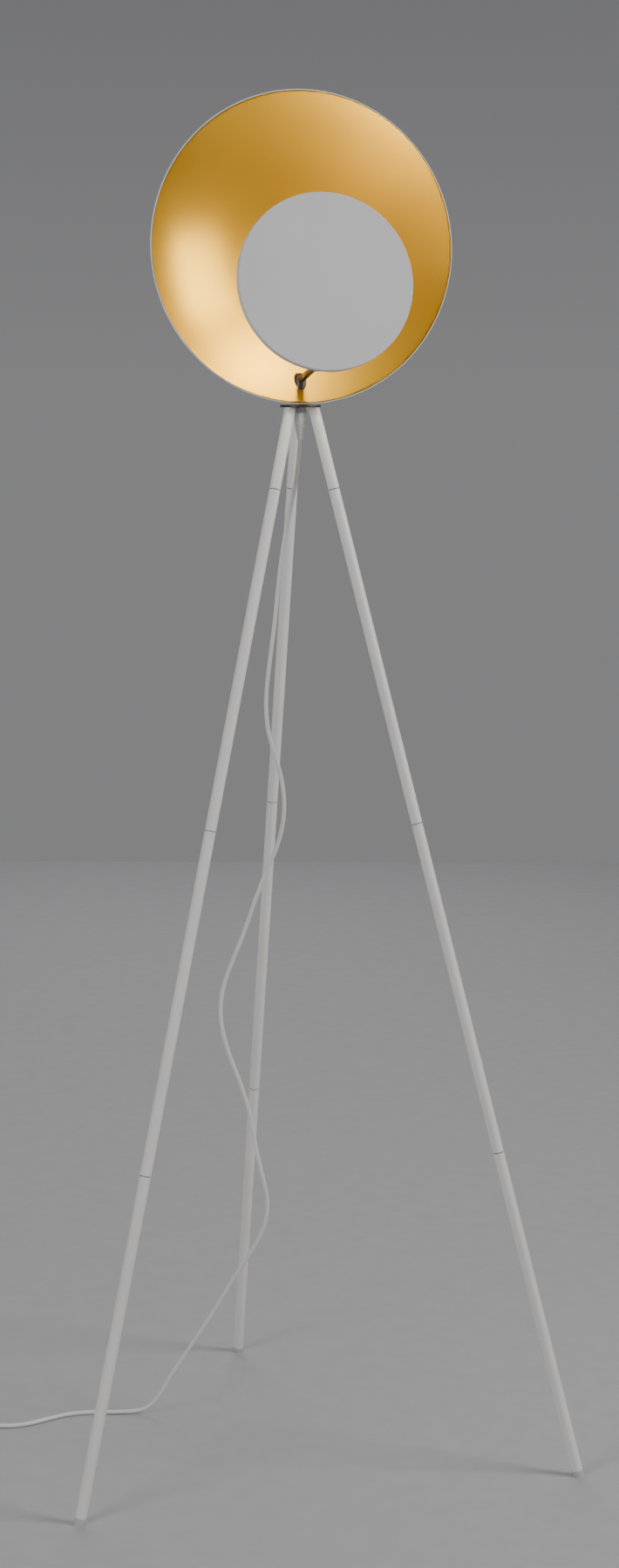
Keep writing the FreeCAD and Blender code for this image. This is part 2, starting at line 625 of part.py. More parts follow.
def make_bulb():
    """A small round bulb: screw cap with its contact, white collar and frosted globe."""
    cap_z = HOLDER_TOP + size.cap_proud - size.bulb_cap_length
    outline = (
        ("0", "-sizes.contact_height"),
        ("sizes.bulb_cap_diameter / 4", "-sizes.contact_height"),
        ("sizes.bulb_cap_diameter / 2", "0"),
        ("sizes.bulb_cap_diameter / 2", "sizes.bulb_cap_length"),
        ("0", "sizes.bulb_cap_length"),
    )
    keep("bulb_cap", turned("bulb_cap", standing(cap_z, -size.arm_reach), outline))
    neck_z = HOLDER_TOP + size.cap_proud
    neck = bound("Part::Cone", "bulb_collar", standing(neck_z, -size.arm_reach),
                 Radius1="sizes.bulb_cap_diameter / 2 + 2 * sizes.cap_proud", Radius2="sizes.bulb_neck_top / 2",
                 Height="sizes.bulb_neck_height")
    keep("bulb_collar", neck)
    neck_top = neck_z + size.bulb_neck_height
    rise = math.sqrt((size.bulb_diameter / 2) ** 2 - (size.bulb_neck_top / 2) ** 2)
    centre = standing(neck_top + rise, -size.arm_reach)
    ball = bound("Part::Sphere", "globe_outer", centre, Radius="sizes.bulb_diameter / 2")
    inside = bound("Part::Sphere", "globe_inner", centre, Radius="sizes.bulb_diameter / 2 - sizes.bulb_wall")
    below = round_bar("globe_below", standing(neck_top - SPARE, -size.arm_reach), "sizes.bulb_diameter", f"{SPARE}")
    keep("bulb_globe", cut("bulb_globe", cut("globe_shell", ball, inside), below))


# ---------------------------------------------------------------- front disc and its hinge


def on_disc(x, y, z):
    """A placement turned with the disc: local Z away from its front face, local Y down it."""
    return FreeCAD.Placement(DISC_PLACE.multVec(FreeCAD.Vector(x, y, z)), DISC_PLACE.Rotation)


def across(start_x):
    """A placement on the hinge axis with local Z along +X."""
    return pointing(PIVOT + SIDEWAYS * start_x, SIDEWAYS)


def make_disc():
    """The flat disc with its edge returned to the back, heights from the front face."""
    outer = "sizes.disc_diameter / 2"
    outline = (
        ("0", "0"),
        (outer + " - sizes.disc_sheet", "0"),
        (outer, "sizes.disc_sheet"),
        (outer, "sizes.disc_flange"),
        (outer + " - sizes.disc_sheet", "sizes.disc_flange"),
        (outer + " - sizes.disc_sheet", "1.5 * sizes.disc_sheet"),
        (outer + " - 1.5 * sizes.disc_sheet", "sizes.disc_sheet"),
        ("0", "sizes.disc_sheet"),
    )
    keep("front_disc", turned("front_disc", DISC_PLACE, outline))


def make_clevis():
    """The foot plate and two ears on the back of the disc."""
    foot = bound("Part::Box", "clevis_foot", on_disc(-size.clevis_width / 2, size.pivot_drop - size.clevis_height / 2,
                                                     size.disc_sheet),
                 Length="sizes.clevis_width", Width="sizes.clevis_height", Height="sizes.clevis_foot")
    solids = [foot]
    for start in (size.eye_width / 2 + size.free_gap, -size.eye_width / 2 - size.free_gap - size.ear_thickness):
        web = bound("Part::Box", "clevis_web", on_disc(start, size.pivot_drop - size.eye_diameter / 2,
                                                       size.disc_sheet),
                    Length="sizes.ear_thickness", Width="sizes.eye_diameter",
                    Height="sizes.pivot_standoff - sizes.disc_sheet")
        solids += [web, round_bar("clevis_ear", across(start), "sizes.eye_diameter / 2", "sizes.ear_thickness")]
    hole = round_bar("clevis_hole", across(-size.clevis_width / 2), "sizes.hinge_diameter / 2", "sizes.clevis_width")
    keep("disc_clevis", cut("disc_clevis", joined("clevis_solid", solids), hole))


def make_stay():
    """The rod from the block, with the eye that the clevis turns on."""
    way = stay_way()
    length = (PIVOT - ARM_END).Length
    rod = round_bar("stay_rod", pointing(ARM_END + way * size.stay_seat, way), "sizes.stay_diameter / 2",
                    f"{length} - sizes.stay_seat")
    eye = round_bar("stay_eye", across(-size.eye_width / 2), "sizes.eye_diameter / 2", "sizes.eye_width")
    hole = round_bar("stay_hole", across(-size.eye_width / 2), "sizes.hinge_diameter / 2 + sizes.running_gap",
                     "sizes.eye_width")
    keep("stay", cut("stay", joined("stay_solid", (rod, eye)), hole))


def make_hinge_screw():
    """The screw across the hinge and its knurled nut."""
    side = size.eye_width / 2 + size.free_gap + size.ear_thickness
    shank = round_bar("hinge_shank", across(-side), "sizes.hinge_diameter / 2",
                      "sizes.eye_width + 2 * sizes.free_gap + 2 * sizes.ear_thickness + sizes.thumb_nut_height")
    head = round_bar("hinge_head", across(-side - size.hinge_head / 3), "sizes.hinge_head / 2", "sizes.hinge_head / 3")
    keep("hinge_screw", joined("hinge_screw", (shank, head)))
    keep("hinge_nut", ring("hinge_nut", across(side), "sizes.thumb_nut_diameter / 2", "sizes.hinge_diameter / 2",
                           "sizes.thumb_nut_height"))


# ---------------------------------------------------------------- cord, foot switch and plug


def rounded_route(points):
    """Straight runs joined by tangent arcs. An arc's radius is 0.45 of its shorter run over the tangent of half
    the turn. Returns the wire and the arcs' radii."""
    edges = []
    radii = []
    start = points[0]
    for before, corner, after in zip(points, points[1:], points[2:]):
        run_in, run_out = corner - before, after - corner
        trim = 0.45 * min(run_in.Length, run_out.Length)
        turn = run_in.getAngle(run_out)
        radii.append(trim / math.tan(turn / 2))
        leave = corner - run_in.normalize() * trim
        enter = corner + run_out.normalize() * trim
        bisector = (leave + enter) * 0.5 - corner
        sag = radii[-1] * (1 / math.cos(turn / 2) - 1)
        middle = corner + bisector.normalize() * sag
        edges.append(Part.LineSegment(start, leave).toShape())
        edges.append(Part.Arc(leave, middle, enter).toShape())
        start = enter
    edges.append(Part.LineSegment(start, points[-1]).toShape())
    return Part.Wire(edges), radii


def make_cord(name, points):
    """A length of cord along a route; its volume is compared with its section times its length."""
    wire, radii = rounded_route(points)
    radius = size.cord_diameter / 2
    section = Part.Wire(Part.makeCircle(radius, points[0], points[1] - points[0]))
    solid = wire.makePipeShell([section], True, False)
    wanted = math.pi * radius**2 * wire.Length
    cord = document.addObject("Part::Feature", name)
    cord.Shape = solid
    keep(name, cord)
    turns = [run.getAngle(following) for run, following in zip(runs(points), runs(points)[1:])]
    print(f"{name}: length {wire.Length:.0f}, tightest radius {min(radii):.1f}, widest turn "
          f"{math.degrees(max(turns)):.0f}, longest run {max(run.Length for run in runs(points)):.0f}, "
          f"volume over wanted {solid.Volume / wanted:.4f}")


def runs(points):
    """The runs from each point of a route to the next."""
    return [after - before for before, after in zip(points, points[1:])]


def from_hub(route):
    """Route points in the lamp's frame."""
    return [FreeCAD.Vector(x, HUB_Y + y, z) for x, y, z in route]


CORD_BEARING = FreeCAD.Rotation(UP, SWITCH_BEARING)
SWITCH_WAY = CORD_BEARING.multVec(SIDEWAYS)
SWITCH_NEAR = from_hub(CORD_DROP_ROUTE)[-1]
SWITCH_FAR = SWITCH_NEAR + SWITCH_WAY * size.switch_length
SWITCH_MIDDLE = SWITCH_NEAR + SWITCH_WAY * (size.switch_length / 2)


def past_switch(route):
    """Route points counted from the switch's far end."""
    return [FreeCAD.Vector(SWITCH_FAR.x + x, SWITCH_FAR.y + y, z) for x, y, z in route]


def at_switch(z):
    """A placement over the middle of the foot switch, with local X along it."""
    return FreeCAD.Placement(FreeCAD.Vector(SWITCH_MIDDLE.x, SWITCH_MIDDLE.y, z), CORD_BEARING)


def make_cords():
    """The cord from the lamp to the switch, the short lead to the coil, the coil, and the tail to the plug."""
    drop = from_hub(CORD_DROP_ROUTE)
    drop[0].z = grip_tip()
    make_cord("cord_drop", drop)
    make_cord("cord_lead", past_switch(CORD_LEAD_ROUTE))
    make_cord("cord_tail", past_switch(CORD_TAIL_ROUTE))
    centre = past_switch([COIL_CENTRE])[0]
    coil = bound("Part::Torus", "cord_coil", FreeCAD.Placement(), Radius1="sizes.coil_width / 2",
                 Radius2="sizes.coil_thickness / 2")
    coil.Placement.Base = FreeCAD.Vector(centre.x, centre.y, size.coil_thickness / 2)
    keep("cord_coil", coil)


def shelled(name, z, height, hollow_z, hollow_height):
    """One half of the switch's housing: a rounded block with a hollow."""
    outside = rounded_block(name + "_outside", at_switch(z), "sizes.switch_length", "sizes.switch_width", height,
                            "sizes.switch_corner")
    inside = rounded_block(name + "_hollow", at_switch(hollow_z), "sizes.switch_length - 2 * sizes.switch_wall",
                           "sizes.switch_width - 2 * sizes.switch_wall", hollow_height,
                           "sizes.switch_corner - sizes.switch_wall")
    return cut(name + "_half", outside, inside)


def make_foot_switch():
    """Base, cover, push button and the switch unit under it."""
    base = shelled("switch_base", 0, "sizes.switch_split", size.switch_wall, "sizes.switch_split")
    keep("switch_base", base)
    cover = shelled("switch_cover", size.switch_split, "sizes.switch_height - sizes.switch_split",
                    size.switch_split - SPARE / 2,
                    f"sizes.switch_height - sizes.switch_split - sizes.switch_wall + {SPARE / 2}")
    hole = round_bar("switch_hole", at_switch(size.switch_split), "sizes.button_diameter / 2 + sizes.free_gap",
                     "sizes.switch_height")
    keep("switch_cover", cut("switch_cover", cover, hole))
    outline = (
        ("0", "-sizes.button_skirt"),
        ("sizes.button_diameter / 2 + sizes.switch_wall", "-sizes.button_skirt"),
        ("sizes.button_diameter / 2 + sizes.switch_wall", "-sizes.switch_wall - sizes.free_gap"),
        ("sizes.button_diameter / 2", "-sizes.switch_wall - sizes.free_gap"),
        ("sizes.button_diameter / 2", "sizes.button_stand - 1"),
        ("sizes.button_diameter / 2 - 1.5", "sizes.button_stand"),
        ("0", "sizes.button_stand"),
    )
    button = turned("switch_button", at_switch(size.switch_height), outline)
    keep("switch_button", button)
    unit = bound("Part::Box", "switch_unit", at_switch(size.switch_wall), Length="sizes.unit_length",
                 Width="sizes.unit_width", Height="sizes.unit_height")
    unit.Placement.Base = unit.Placement.multVec(FreeCAD.Vector(-size.unit_length / 2, -size.unit_width / 2, 0))
    keep("switch_unit", unit)


def make_plug():
    """The flat plug at the end of the tail and its two pins."""
    start, end = past_switch(CORD_TAIL_ROUTE)[-2:]
    way = FreeCAD.Vector(end.x - start.x, end.y - start.y, 0).normalize()
    turn = FreeCAD.Rotation(SIDEWAYS, way)
    middle = end + way * (size.plug_length / 2)
    block = rounded_block("plug_block", FreeCAD.Placement(FreeCAD.Vector(middle.x, middle.y, 0), turn),
                          "sizes.plug_length", "sizes.plug_width", "sizes.plug_height", "sizes.plug_corner")
    keep("plug_body", block)
    side = turn.multVec(FreeCAD.Vector(0, 1, 0))
    tip = end + way * size.plug_length
    tip.z = size.plug_height / 2
    pins = [round_bar("plug_pin", pointing(tip + side * (sign * size.pin_spacing / 2), way),
                      "sizes.pin_diameter / 2", "sizes.pin_length") for sign in (-1, 1)]
    keep("plug_pins", joined("plug_pins", pins))


# ---------------------------------------------------------------- the whole lamp


def make_lamp():
    for leg, azimuth in LEGS:
        make_leg(leg, azimuth)
    make_hub_plate()
    make_stem()
    make_stem_fasteners()
    make_cord_grip()
    make_stem_lead()
    make_dish()
    make_saddle()
    make_knuckle()
    make_knuckle_cap()
    make_arm()
    make_block()
    make_lamp_holder()
    make_bulb()
    make_disc()
    make_clevis()
    make_stay()
    make_hinge_screw()
    make_cords()
    make_foot_switch()
    make_plug()
    document.recompute()


def check_lamp():
    """Stops if any feature failed or any finished piece is not a sound solid."""
    for feature in document.Objects:
        if {"Invalid", "Error"} & set(feature.State):
            raise RuntimeError(f"{feature.Label} failed: {feature.State}")
    for name, piece in pieces.items():
        shape = piece.Shape
        if shape.isNull() or not shape.isValid() or not shape.Solids or shape.Volume <= 0:
            raise RuntimeError(f"{name} is not a valid solid")


def write_lamp():
    os.makedirs("parts", exist_ok=True)
    for name, piece in pieces.items():
        piece.Shape.exportStep(f"parts/{name}.step")
        solids = len(piece.Shape.Solids)
        print(f"{name}: {solids} solid{'s' if solids > 1 else ''}, {piece.Shape.Volume:.0f} mm3")


def print_places():
    """The places that the record repeats, in the lamp's frame."""
    for meaning, place in (("hub axis", FreeCAD.Vector(0, HUB_Y, HUB_TOP)), ("disc pivot", PIVOT),
                           ("dish rim centre", RIM_CENTRE), ("disc centre", DISC_CENTRE), ("arm end", ARM_END),
                           ("switch middle", SWITCH_MIDDLE)):
        print(f"{meaning}: {place.x:.3f}, {place.y:.3f}, {place.z:.3f}")
    print(f"feet on a circle of radius {FOOT_RADIUS:.3f}")


make_lamp()
check_lamp()
write_lamp()
print_places()
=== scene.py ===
"""Looks of the tripod floor lamp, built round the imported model.

Lengths are in metres and +Z is up. The dish faces -Y. Every piece stays in the row frame, its object at the origin,
and rides on the body that carries it.
"""
import json
import math

import bmesh
import bpy
import numpy as np
from bpy.props import FloatProperty, FloatVectorProperty, IntProperty, PointerProperty
from mathutils import Euler, Matrix, Vector


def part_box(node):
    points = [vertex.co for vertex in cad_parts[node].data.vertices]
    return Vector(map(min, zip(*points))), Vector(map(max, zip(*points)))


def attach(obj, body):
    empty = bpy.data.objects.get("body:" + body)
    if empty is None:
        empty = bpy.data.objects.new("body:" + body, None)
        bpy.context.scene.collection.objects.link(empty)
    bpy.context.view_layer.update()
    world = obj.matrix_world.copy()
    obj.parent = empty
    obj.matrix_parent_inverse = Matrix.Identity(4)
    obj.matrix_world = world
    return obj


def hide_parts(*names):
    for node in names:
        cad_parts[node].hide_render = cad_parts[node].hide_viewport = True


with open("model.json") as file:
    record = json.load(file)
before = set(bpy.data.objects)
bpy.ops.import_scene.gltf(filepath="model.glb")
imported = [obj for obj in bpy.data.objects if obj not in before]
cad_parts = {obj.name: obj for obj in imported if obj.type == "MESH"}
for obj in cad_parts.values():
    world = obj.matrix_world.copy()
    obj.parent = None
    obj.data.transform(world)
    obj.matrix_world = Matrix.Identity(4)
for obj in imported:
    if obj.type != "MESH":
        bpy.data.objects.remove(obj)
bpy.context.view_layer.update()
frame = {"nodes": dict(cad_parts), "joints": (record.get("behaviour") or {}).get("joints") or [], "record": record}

bl_info = {
    "name": "Tripod floor lamp",
    "version": (1, 0, 0),
    "blender": (4, 5, 0),
    "location": "View3D > Sidebar > Lamp",
    "description": "Builds the surfaces, finishes, cord and stage of a tripod floor lamp",
    "category": "Object",
}

JOINTS = {joint["name"]: joint for joint in frame["joints"]}
MOUNTS = {mount["name"]: mount for mount in frame["record"]["mounts"]}
HUB = np.array(JOINTS["head_swivel"]["pos_m"], float)  # on the swivel's axis, at the top of the hub plate
PIVOT = np.array(JOINTS["disc_tilt"]["pos_m"], float)  # on the axis of the disc's hinge
UP = np.array((0.0, 0.0, 1.0))
SIDEWAYS = np.array((1.0, 0.0, 0.0))
MM = 0.001
LEGS = ("front_left", "front_right", "rear")
SHARP = math.radians(50)  # edges that turn more than this are shaded sharp


def mm(*rows):
    """Millimetres as an array of metres."""
    return np.array(rows, float) * MM


# The free cord's route in millimetres: X and Y from the hub axis, Z from the floor. The first point's height is
# replaced by that of the cord grip's tip.
CORD_DROP_ROUTE = mm(
    (0, 0, 1218), (-2, 2, 1180), (-9, 8, 1141), (-16, 15, 1099), (-21, 20, 1053), (-24, 26, 1005), (-29, 31, 959),
    (-33, 36, 915), (-31, 38, 877), (-21, 40, 845), (-11, 41, 811), (-8, 43, 774), (-14, 47, 738), (-28, 53, 703),
    (-42, 60, 663), (-54, 67, 622), (-68, 73, 586), (-79, 78, 550), (-79, 82, 512), (-69, 83, 474), (-54, 82, 436),
    (-42, 83, 398), (-36, 85, 359), (-27, 85, 320), (-18, 87, 283), (-22, 91, 248), (-38, 97, 216), (-57, 105, 184),
    (-76, 113, 148), (-96, 120, 113), (-116, 128, 80), (-134, 134, 50), (-147, 139, 24), (-163, 145, 6),
    (-189, 152, 2.7), (-223, 161, 2.7), (-254, 163, 2.7), (-281, 154, 2.7), (-306, 142, 2.7), (-330, 138, 2.7),
    (-353, 143, 3.5), (-374, 149, 5),
)
# These are counted from the far end of the foot switch; the coil's turns come between the two routes.
CORD_LEAD_ROUTE = mm(
    (0, 0, 5), (-12.4, 3.9, 4), (-23.2, 14.3, 3), (-27.4, 28.7, 2.7), (-25.9, 41.7, 2.7),
)
CORD_TAIL_ROUTE = mm(
    (-16.8, 77.2, 8.2), (-14.4, 91.1, 7.6), (-10.2, 106.4, 7),
)
COIL_CENTRE = mm(5.4, 53.2)
COIL_START, COIL_END = math.radians(193), math.radians(163)
ON_FLOOR, ON_CORD = 2.7 * MM, 7.6 * MM  # heights of a cord's middle where it lies on the floor and on other turns
SLEEVE_REACH, SLEEVE_TIP = 22 * MM, 3.1 * MM  # strain-relief sleeves
SWITCH_BEARING = math.radians(166.2)


# ---- sizes and colours a user would change


def length(name, description, default):
    return FloatProperty(name=name, description=description, default=default, unit="LENGTH", precision=4)


def turn(name, description, degrees):
    return FloatProperty(name=name, description=description, default=math.radians(degrees), subtype="ANGLE")


def colour(name, description, default):
    return FloatVectorProperty(name=name, description=description, default=default, subtype="COLOR", size=3,
                               min=0, max=1)


class LampSizes(bpy.types.PropertyGroup):
    """Sizes of the surfaces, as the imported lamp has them"""

    tube_diameter: length("Leg tube", "Outside diameter of a leg tube", 0.013)
    tube_wall: length("Leg wall", "Wall of a leg tube", 0.001)
    section_length: length("Leg section", "One screwed section of a leg, seam to seam", 0.4)
    seam: length("Seam", "Gap between two leg sections", 0.0008)
    leg_offset: length("Leg offset", "Hub axis to leg axis at the underside of the hub plate", 0.016)
    foot_height: length("Foot", "Plastic foot below a tube", 0.007)
    hub_diameter: length("Hub plate", "Diameter of the hub plate", 0.047)
    hub_thickness: length("Hub thickness", "Thickness of the hub plate", 0.003)
    dish_diameter: length("Dish", "Diameter of the dish over its rolled rim", 0.355)
    dish_depth: length("Dish depth", "Rim plane to the middle of the back", 0.060)
    dish_sheet: length("Dish sheet", "Thickness of the dish metal", 0.0012)
    dish_bead: length("Rim bead", "Radius of the rolled rim", 0.0015)
    dish_tilt: turn("Dish tilt", "How far the dish looks up", 1.9)
    dish_ahead: length("Dish ahead", "Middle of the rim ahead of the hub axis", 0.012)
    dish_lift: length("Dish lift", "Gap between hub plate and rim", 0.0005)
    disc_diameter: length("Disc", "Diameter of the front disc", 0.2)
    disc_sheet: length("Disc sheet", "Thickness of the disc metal", 0.001)
    disc_flange: length("Disc edge", "Returned edge of the disc, front to back", 0.009)
    disc_lean: turn("Disc lean", "How far the disc looks up at rest", 10.6)
    disc_drop: length("Disc pivot drop", "Hinge below the disc's middle, along the disc", 0.073)
    disc_standoff: length("Disc pivot standoff", "Hinge behind the disc's front", 0.009)
    arm_diameter: length("Arm", "Diameter of the arm tube", 0.008)
    arm_rise: turn("Arm rise", "Slope of the arm", 12)
    arm_height: length("Arm height", "Arm axis above the hub plate, at the hub axis", 0.028)
    arm_reach: length("Arm reach", "Hub axis to the lamp holder's axis", 0.072)
    cord_diameter: length("Cord", "Diameter of the mains cord", 0.005)
    coil_width: length("Coil", "Put-away coil, to the middle of its turns", 0.055)
    coil_turns: IntProperty(name="Coil turns", description="Turns of the put-away coil", default=3, min=1, max=6)


class LampColours(bpy.types.PropertyGroup):
    """Colours of the finishes"""

    leg_white: colour("Legs", "Powder coat of the legs", (0.80, 0.79, 0.77))
    dish_gold: colour("Dish inside", "Lacquered metal inside the dish", (0.46, 0.245, 0.009))
    dish_white: colour("Dish outside", "Powder coat of the dish's back", (0.80, 0.79, 0.77))
    disc_white: colour("Disc", "Powder coat of the front disc", (0.68, 0.68, 0.695))
    # Partly painted shade: the arm is given this dark brown because it looks that dark in the shade under the dish.
    bronze_and_shade: colour("Fittings", "Dark paint of hub, knuckle and arm", (0.055, 0.040, 0.032))
    # Partly painted shade: the collars are made this dark so that the seams between leg sections show the shade of
    # their gaps.
    joiner: colour("Seam collars", "Blackened steel of the collars and studs in the legs", (0.10, 0.10, 0.105))
    plated: colour("Plated steel", "Screws, nut, studs and pins", (0.58, 0.58, 0.57))
    brass: colour("Brass", "Bulb socket and hinge nut", (0.76, 0.55, 0.25))
    foot_grey: colour("Feet", "Moulded feet", (0.50, 0.50, 0.49))
    plastic_white: colour("White plastic", "Switch, plug and bulb collar", (0.80, 0.80, 0.77))
    plastic_black: colour("Black plastic", "Lamp holder", (0.020, 0.020, 0.021))
    nylon: colour("Nylon", "Swivel washer", (0.74, 0.71, 0.60))
    cord_white: colour("Cord", "Sheath of the cord", (0.78, 0.78, 0.76))
    glow: colour("Bulb glow", "Light of the bulb", (1.0, 0.92, 0.66))
    floor: colour("Floor", "Plain pale floor of the stage", (0.42, 0.42, 0.43))


class LampLight(bpy.types.PropertyGroup):
    """Camera and lights of the stage"""

    lens: FloatProperty(name="Lens", description="Focal length in millimetres", default=63.8)
    eye: FloatVectorProperty(name="Eye", description="Camera's place from the hub axis, height from the floor",
                             default=(-0.775, -3.148, 1.278), subtype="TRANSLATION", size=3)
    pitch: turn("Pitch", "How far the camera looks down", 8.136)
    yaw: turn("Yaw", "How far the camera is turned to the right", 14.03)
    roll: turn("Roll", "Turn of the camera about its own axis", 0.094)
    floor_reach: length("Floor reach", "From the hub axis to the sides of the floor", 4.2)
    bulb_strength: FloatProperty(name="Bulb", description="Strength of the bulb's glow", default=130.0)
    key_power: FloatProperty(name="Key", description="Large soft light at the left, in watts", default=50.0)
    fill_power: FloatProperty(name="Fill", description="Soft light at the right, in watts", default=62.0)
    top_power: FloatProperty(name="Top", description="Large soft light overhead, in watts", default=12.0)
    rear_power: FloatProperty(name="Rear", description="Large soft light behind, in watts", default=50.0)
    sky: FloatProperty(name="Surroundings", description="Brightness of the room", default=0.25)


def sizes():
    return bpy.context.scene.lamp_sizes


def colours():
    return bpy.context.scene.lamp_colours


# ---- surfaces


def across(axis):
    """Two unit vectors square to axis and to each other."""
    helper = SIDEWAYS if abs(axis[0]) < 0.9 else UP
    first = np.cross(axis, helper)
    first /= np.linalg.norm(first)
    return first, np.cross(axis, first)


def unit(vector):
    vector = np.asarray(vector, float)
    return vector / np.linalg.norm(vector)


def softened(corners, steps=4):
    """An outline with round corners. corners lists (radius, height, reach). A corner with reach becomes a parabola
    that leaves both sides that far from it, with one more point on each side to keep the shading of the sides even."""
    points = []
    for number, (radius, height, reach) in enumerate(corners):
        here = np.array((radius, height), float)
        if not reach:
            points.append(here)
            continue
        before = unit(np.array(corners[number - 1][:2]) - here)
        after = unit(np.array(corners[(number + 1) % len(corners)][:2]) - here)
        start, end = here + before * reach, here + after * reach
        points.append(here + before * 1.5 * reach)
        for share in np.linspace(0, 1, steps + 1):
            points.append((1 - share) ** 2 * start + 2 * share * (1 - share) * here + share**2 * end)
        points.append(here + after * 1.5 * reach)
    return np.array(points)


def surface(name, points, finish_of_row=None):
    """A closed mesh from a grid of points, rows by columns. Columns that meet and rows that shrink to a point are
    merged. The UV map holds the column's share of a turn and the distance along the rows, in metres."""
    rows, columns = points.shape[:2]
    index = np.arange(rows * columns).reshape(rows, columns)
    corners = (index[:-1, :-1], index[1:, :-1], index[1:, 1:], index[:-1, 1:])
    quads = np.stack(corners, axis=-1).reshape(-1, 4)
    mesh = bpy.data.meshes.new(name)
    mesh.from_pydata(points.reshape(-1, 3).tolist(), [], quads.tolist())
    along = np.concatenate(([0], np.cumsum(np.linalg.norm(np.diff(points, axis=0), axis=-1).mean(axis=1))))
    spread = np.stack(np.broadcast_arrays(np.linspace(0, 1, columns)[None, :], along[:, None]), axis=-1)
    mesh.uv_layers.new(name="along").data.foreach_set("uv", spread.reshape(-1, 2)[quads.reshape(-1)].reshape(-1))
    if finish_of_row is not None:
        mesh.polygons.foreach_set("material_index", np.repeat(finish_of_row, columns - 1))
    build = bmesh.new()
    build.from_mesh(mesh)
    bmesh.ops.remove_doubles(build, verts=build.verts, dist=1e-7)
    bmesh.ops.dissolve_degenerate(build, edges=build.edges, dist=1e-8)
    bmesh.ops.recalc_face_normals(build, faces=build.faces)
    build.to_mesh(mesh)
    build.free()
    mesh.shade_smooth()
    mesh.set_sharp_from_angle(angle=SHARP)
    piece = bpy.data.objects.new(name, mesh)
    bpy.context.scene.collection.objects.link(piece)
    return piece


def revolved(name, outline, base, axis, columns=96, closed=False, level=None, flute=None, finish_of_row=None):
    """Surface of revolution: a point is base + height * axis + radius * (cos a * e1 + sin a * e2). radius and height
    come from the outline's row and a from the column. closed joins the last row to the first. A row whose height is
    nan lies where its lines along the axis meet the level plane. flute gives (count, depth) of lengthwise ridges:
    the radius is then multiplied by 1 + depth * cos(count * a)."""
    outline = np.asarray(outline, float)
    if closed:
        outline = np.vstack((outline, outline[:1]))
    first, second = across(axis)
    angle = np.linspace(0, 2 * np.pi, columns + 1)
    ring = np.cos(angle)[:, None] * first + np.sin(angle)[:, None] * second
    radius = np.repeat(outline[:, :1], columns + 1, axis=1)
    if flute:
        radius = radius * (1 + flute[1] * np.cos(flute[0] * angle))
    points = np.asarray(base, float) + radius[..., None] * ring[None]
    height = np.repeat(outline[:, 1:2], columns + 1, axis=1)
    if level is not None:
        height = np.where(np.isnan(height), (level - points[..., 2]) / axis[2], height)
    return surface(name, points + height[..., None] * axis, finish_of_row=finish_of_row)


def tube(name, radius, bore, start, end, base, axis, soft=0.3 * MM):
    """A straight tube with softened ends, from start to end along the axis."""
    corners = ((radius, start, soft), (radius, end, soft), (bore, end, soft), (bore, start, soft))
    return revolved(name, softened(corners, steps=3), base, axis, columns=64, closed=True)


def rod(name, radius, start, end, base, axis, soft):
    """A straight bar with softened ends, from start to end along the axis."""
    corners = ((0, start, 0), (radius, start, soft), (radius, end, soft), (0, end, 0))
    return revolved(name, softened(corners), base, axis, columns=64)


def pillow(name, centre, way, length, width, rows, squareness, columns=96):
    """A moulded block: a stack of rounded rectangles, |x / a|^n + |y / b|^n = 1 with n the squareness. rows lists
    (inset, height): a and b are half of length and width less the inset. The stack closes in a point at both ends."""
    side = np.array((-way[1], way[0], 0))
    angle = np.linspace(0, 2 * np.pi, columns + 1)
    power = 2 / squareness
    along = np.sign(np.cos(angle)) * np.abs(np.cos(angle)) ** power
    sideways = np.sign(np.sin(angle)) * np.abs(np.sin(angle)) ** power
    rows = np.asarray(rows, float)
    reach_x = np.maximum(length / 2 - rows[:, 0], 0)[:, None]
    reach_y = np.maximum(width / 2 - rows[:, 0], 0)[:, None]
    points = (reach_x * along)[..., None] * way + (reach_y * sideways)[..., None] * side
    points = points + np.array((centre[0], centre[1], 0)) + rows[:, 1, None, None] * UP
    middles = np.array((centre[0], centre[1], 0)) + rows[[0, -1], 1, None] * UP
    ends = np.repeat(middles[:, None, :], columns + 1, axis=1)
    return surface(name, np.concatenate((ends[:1], points, ends[1:])))


def joined(name, *pieces):
    """The pieces as one object."""
    build = bmesh.new()
    for piece in pieces:
        build.from_mesh(piece.data)
        bpy.data.objects.remove(piece)
    mesh = bpy.data.meshes.new(name)
    build.to_mesh(mesh)
    build.free()
    whole = bpy.data.objects.new(name, mesh)
    bpy.context.scene.collection.objects.link(whole)
    return whole


def finished(piece, body, slot, materials, *nodes):
    """Gives a piece its materials and its body, and hides the nodes it stands for. slot is not used."""
    for material in materials if isinstance(materials, (list, tuple)) else [materials]:
        piece.data.materials.append(material)
    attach(piece, body)
    if nodes:
        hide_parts(*nodes)
    return piece


def levels(node):
    """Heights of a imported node's lowest and highest point, in millimetres."""
    return [corner.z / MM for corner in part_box(node)]


def dressed(node, material):
    """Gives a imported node, shown as it is, its material."""
    mesh = frame["nodes"][node].data
    mesh.materials.clear()
    mesh.materials.append(material)


# ---- finishes


def pattern(tree, scale, detail):
    """Noise on the object's own coordinates or, where scale holds three stretches, on its UV map."""
    on_map = isinstance(scale, tuple)
    where = tree.nodes.new("ShaderNodeTexCoord")
    mapping = tree.nodes.new("ShaderNodeMapping")
    mapping.inputs["Scale"].default_value = scale if on_map else (1, 1, 1)
    noise = tree.nodes.new("ShaderNodeTexNoise")
    noise.inputs["Scale"].default_value = 1 if on_map else scale
    noise.inputs["Detail"].default_value = detail
    tree.links.new(where.outputs["UV" if on_map else "Object"], mapping.inputs["Vector"])
    tree.links.new(mapping.outputs["Vector"], noise.inputs["Vector"])
    return noise.outputs["Fac"]


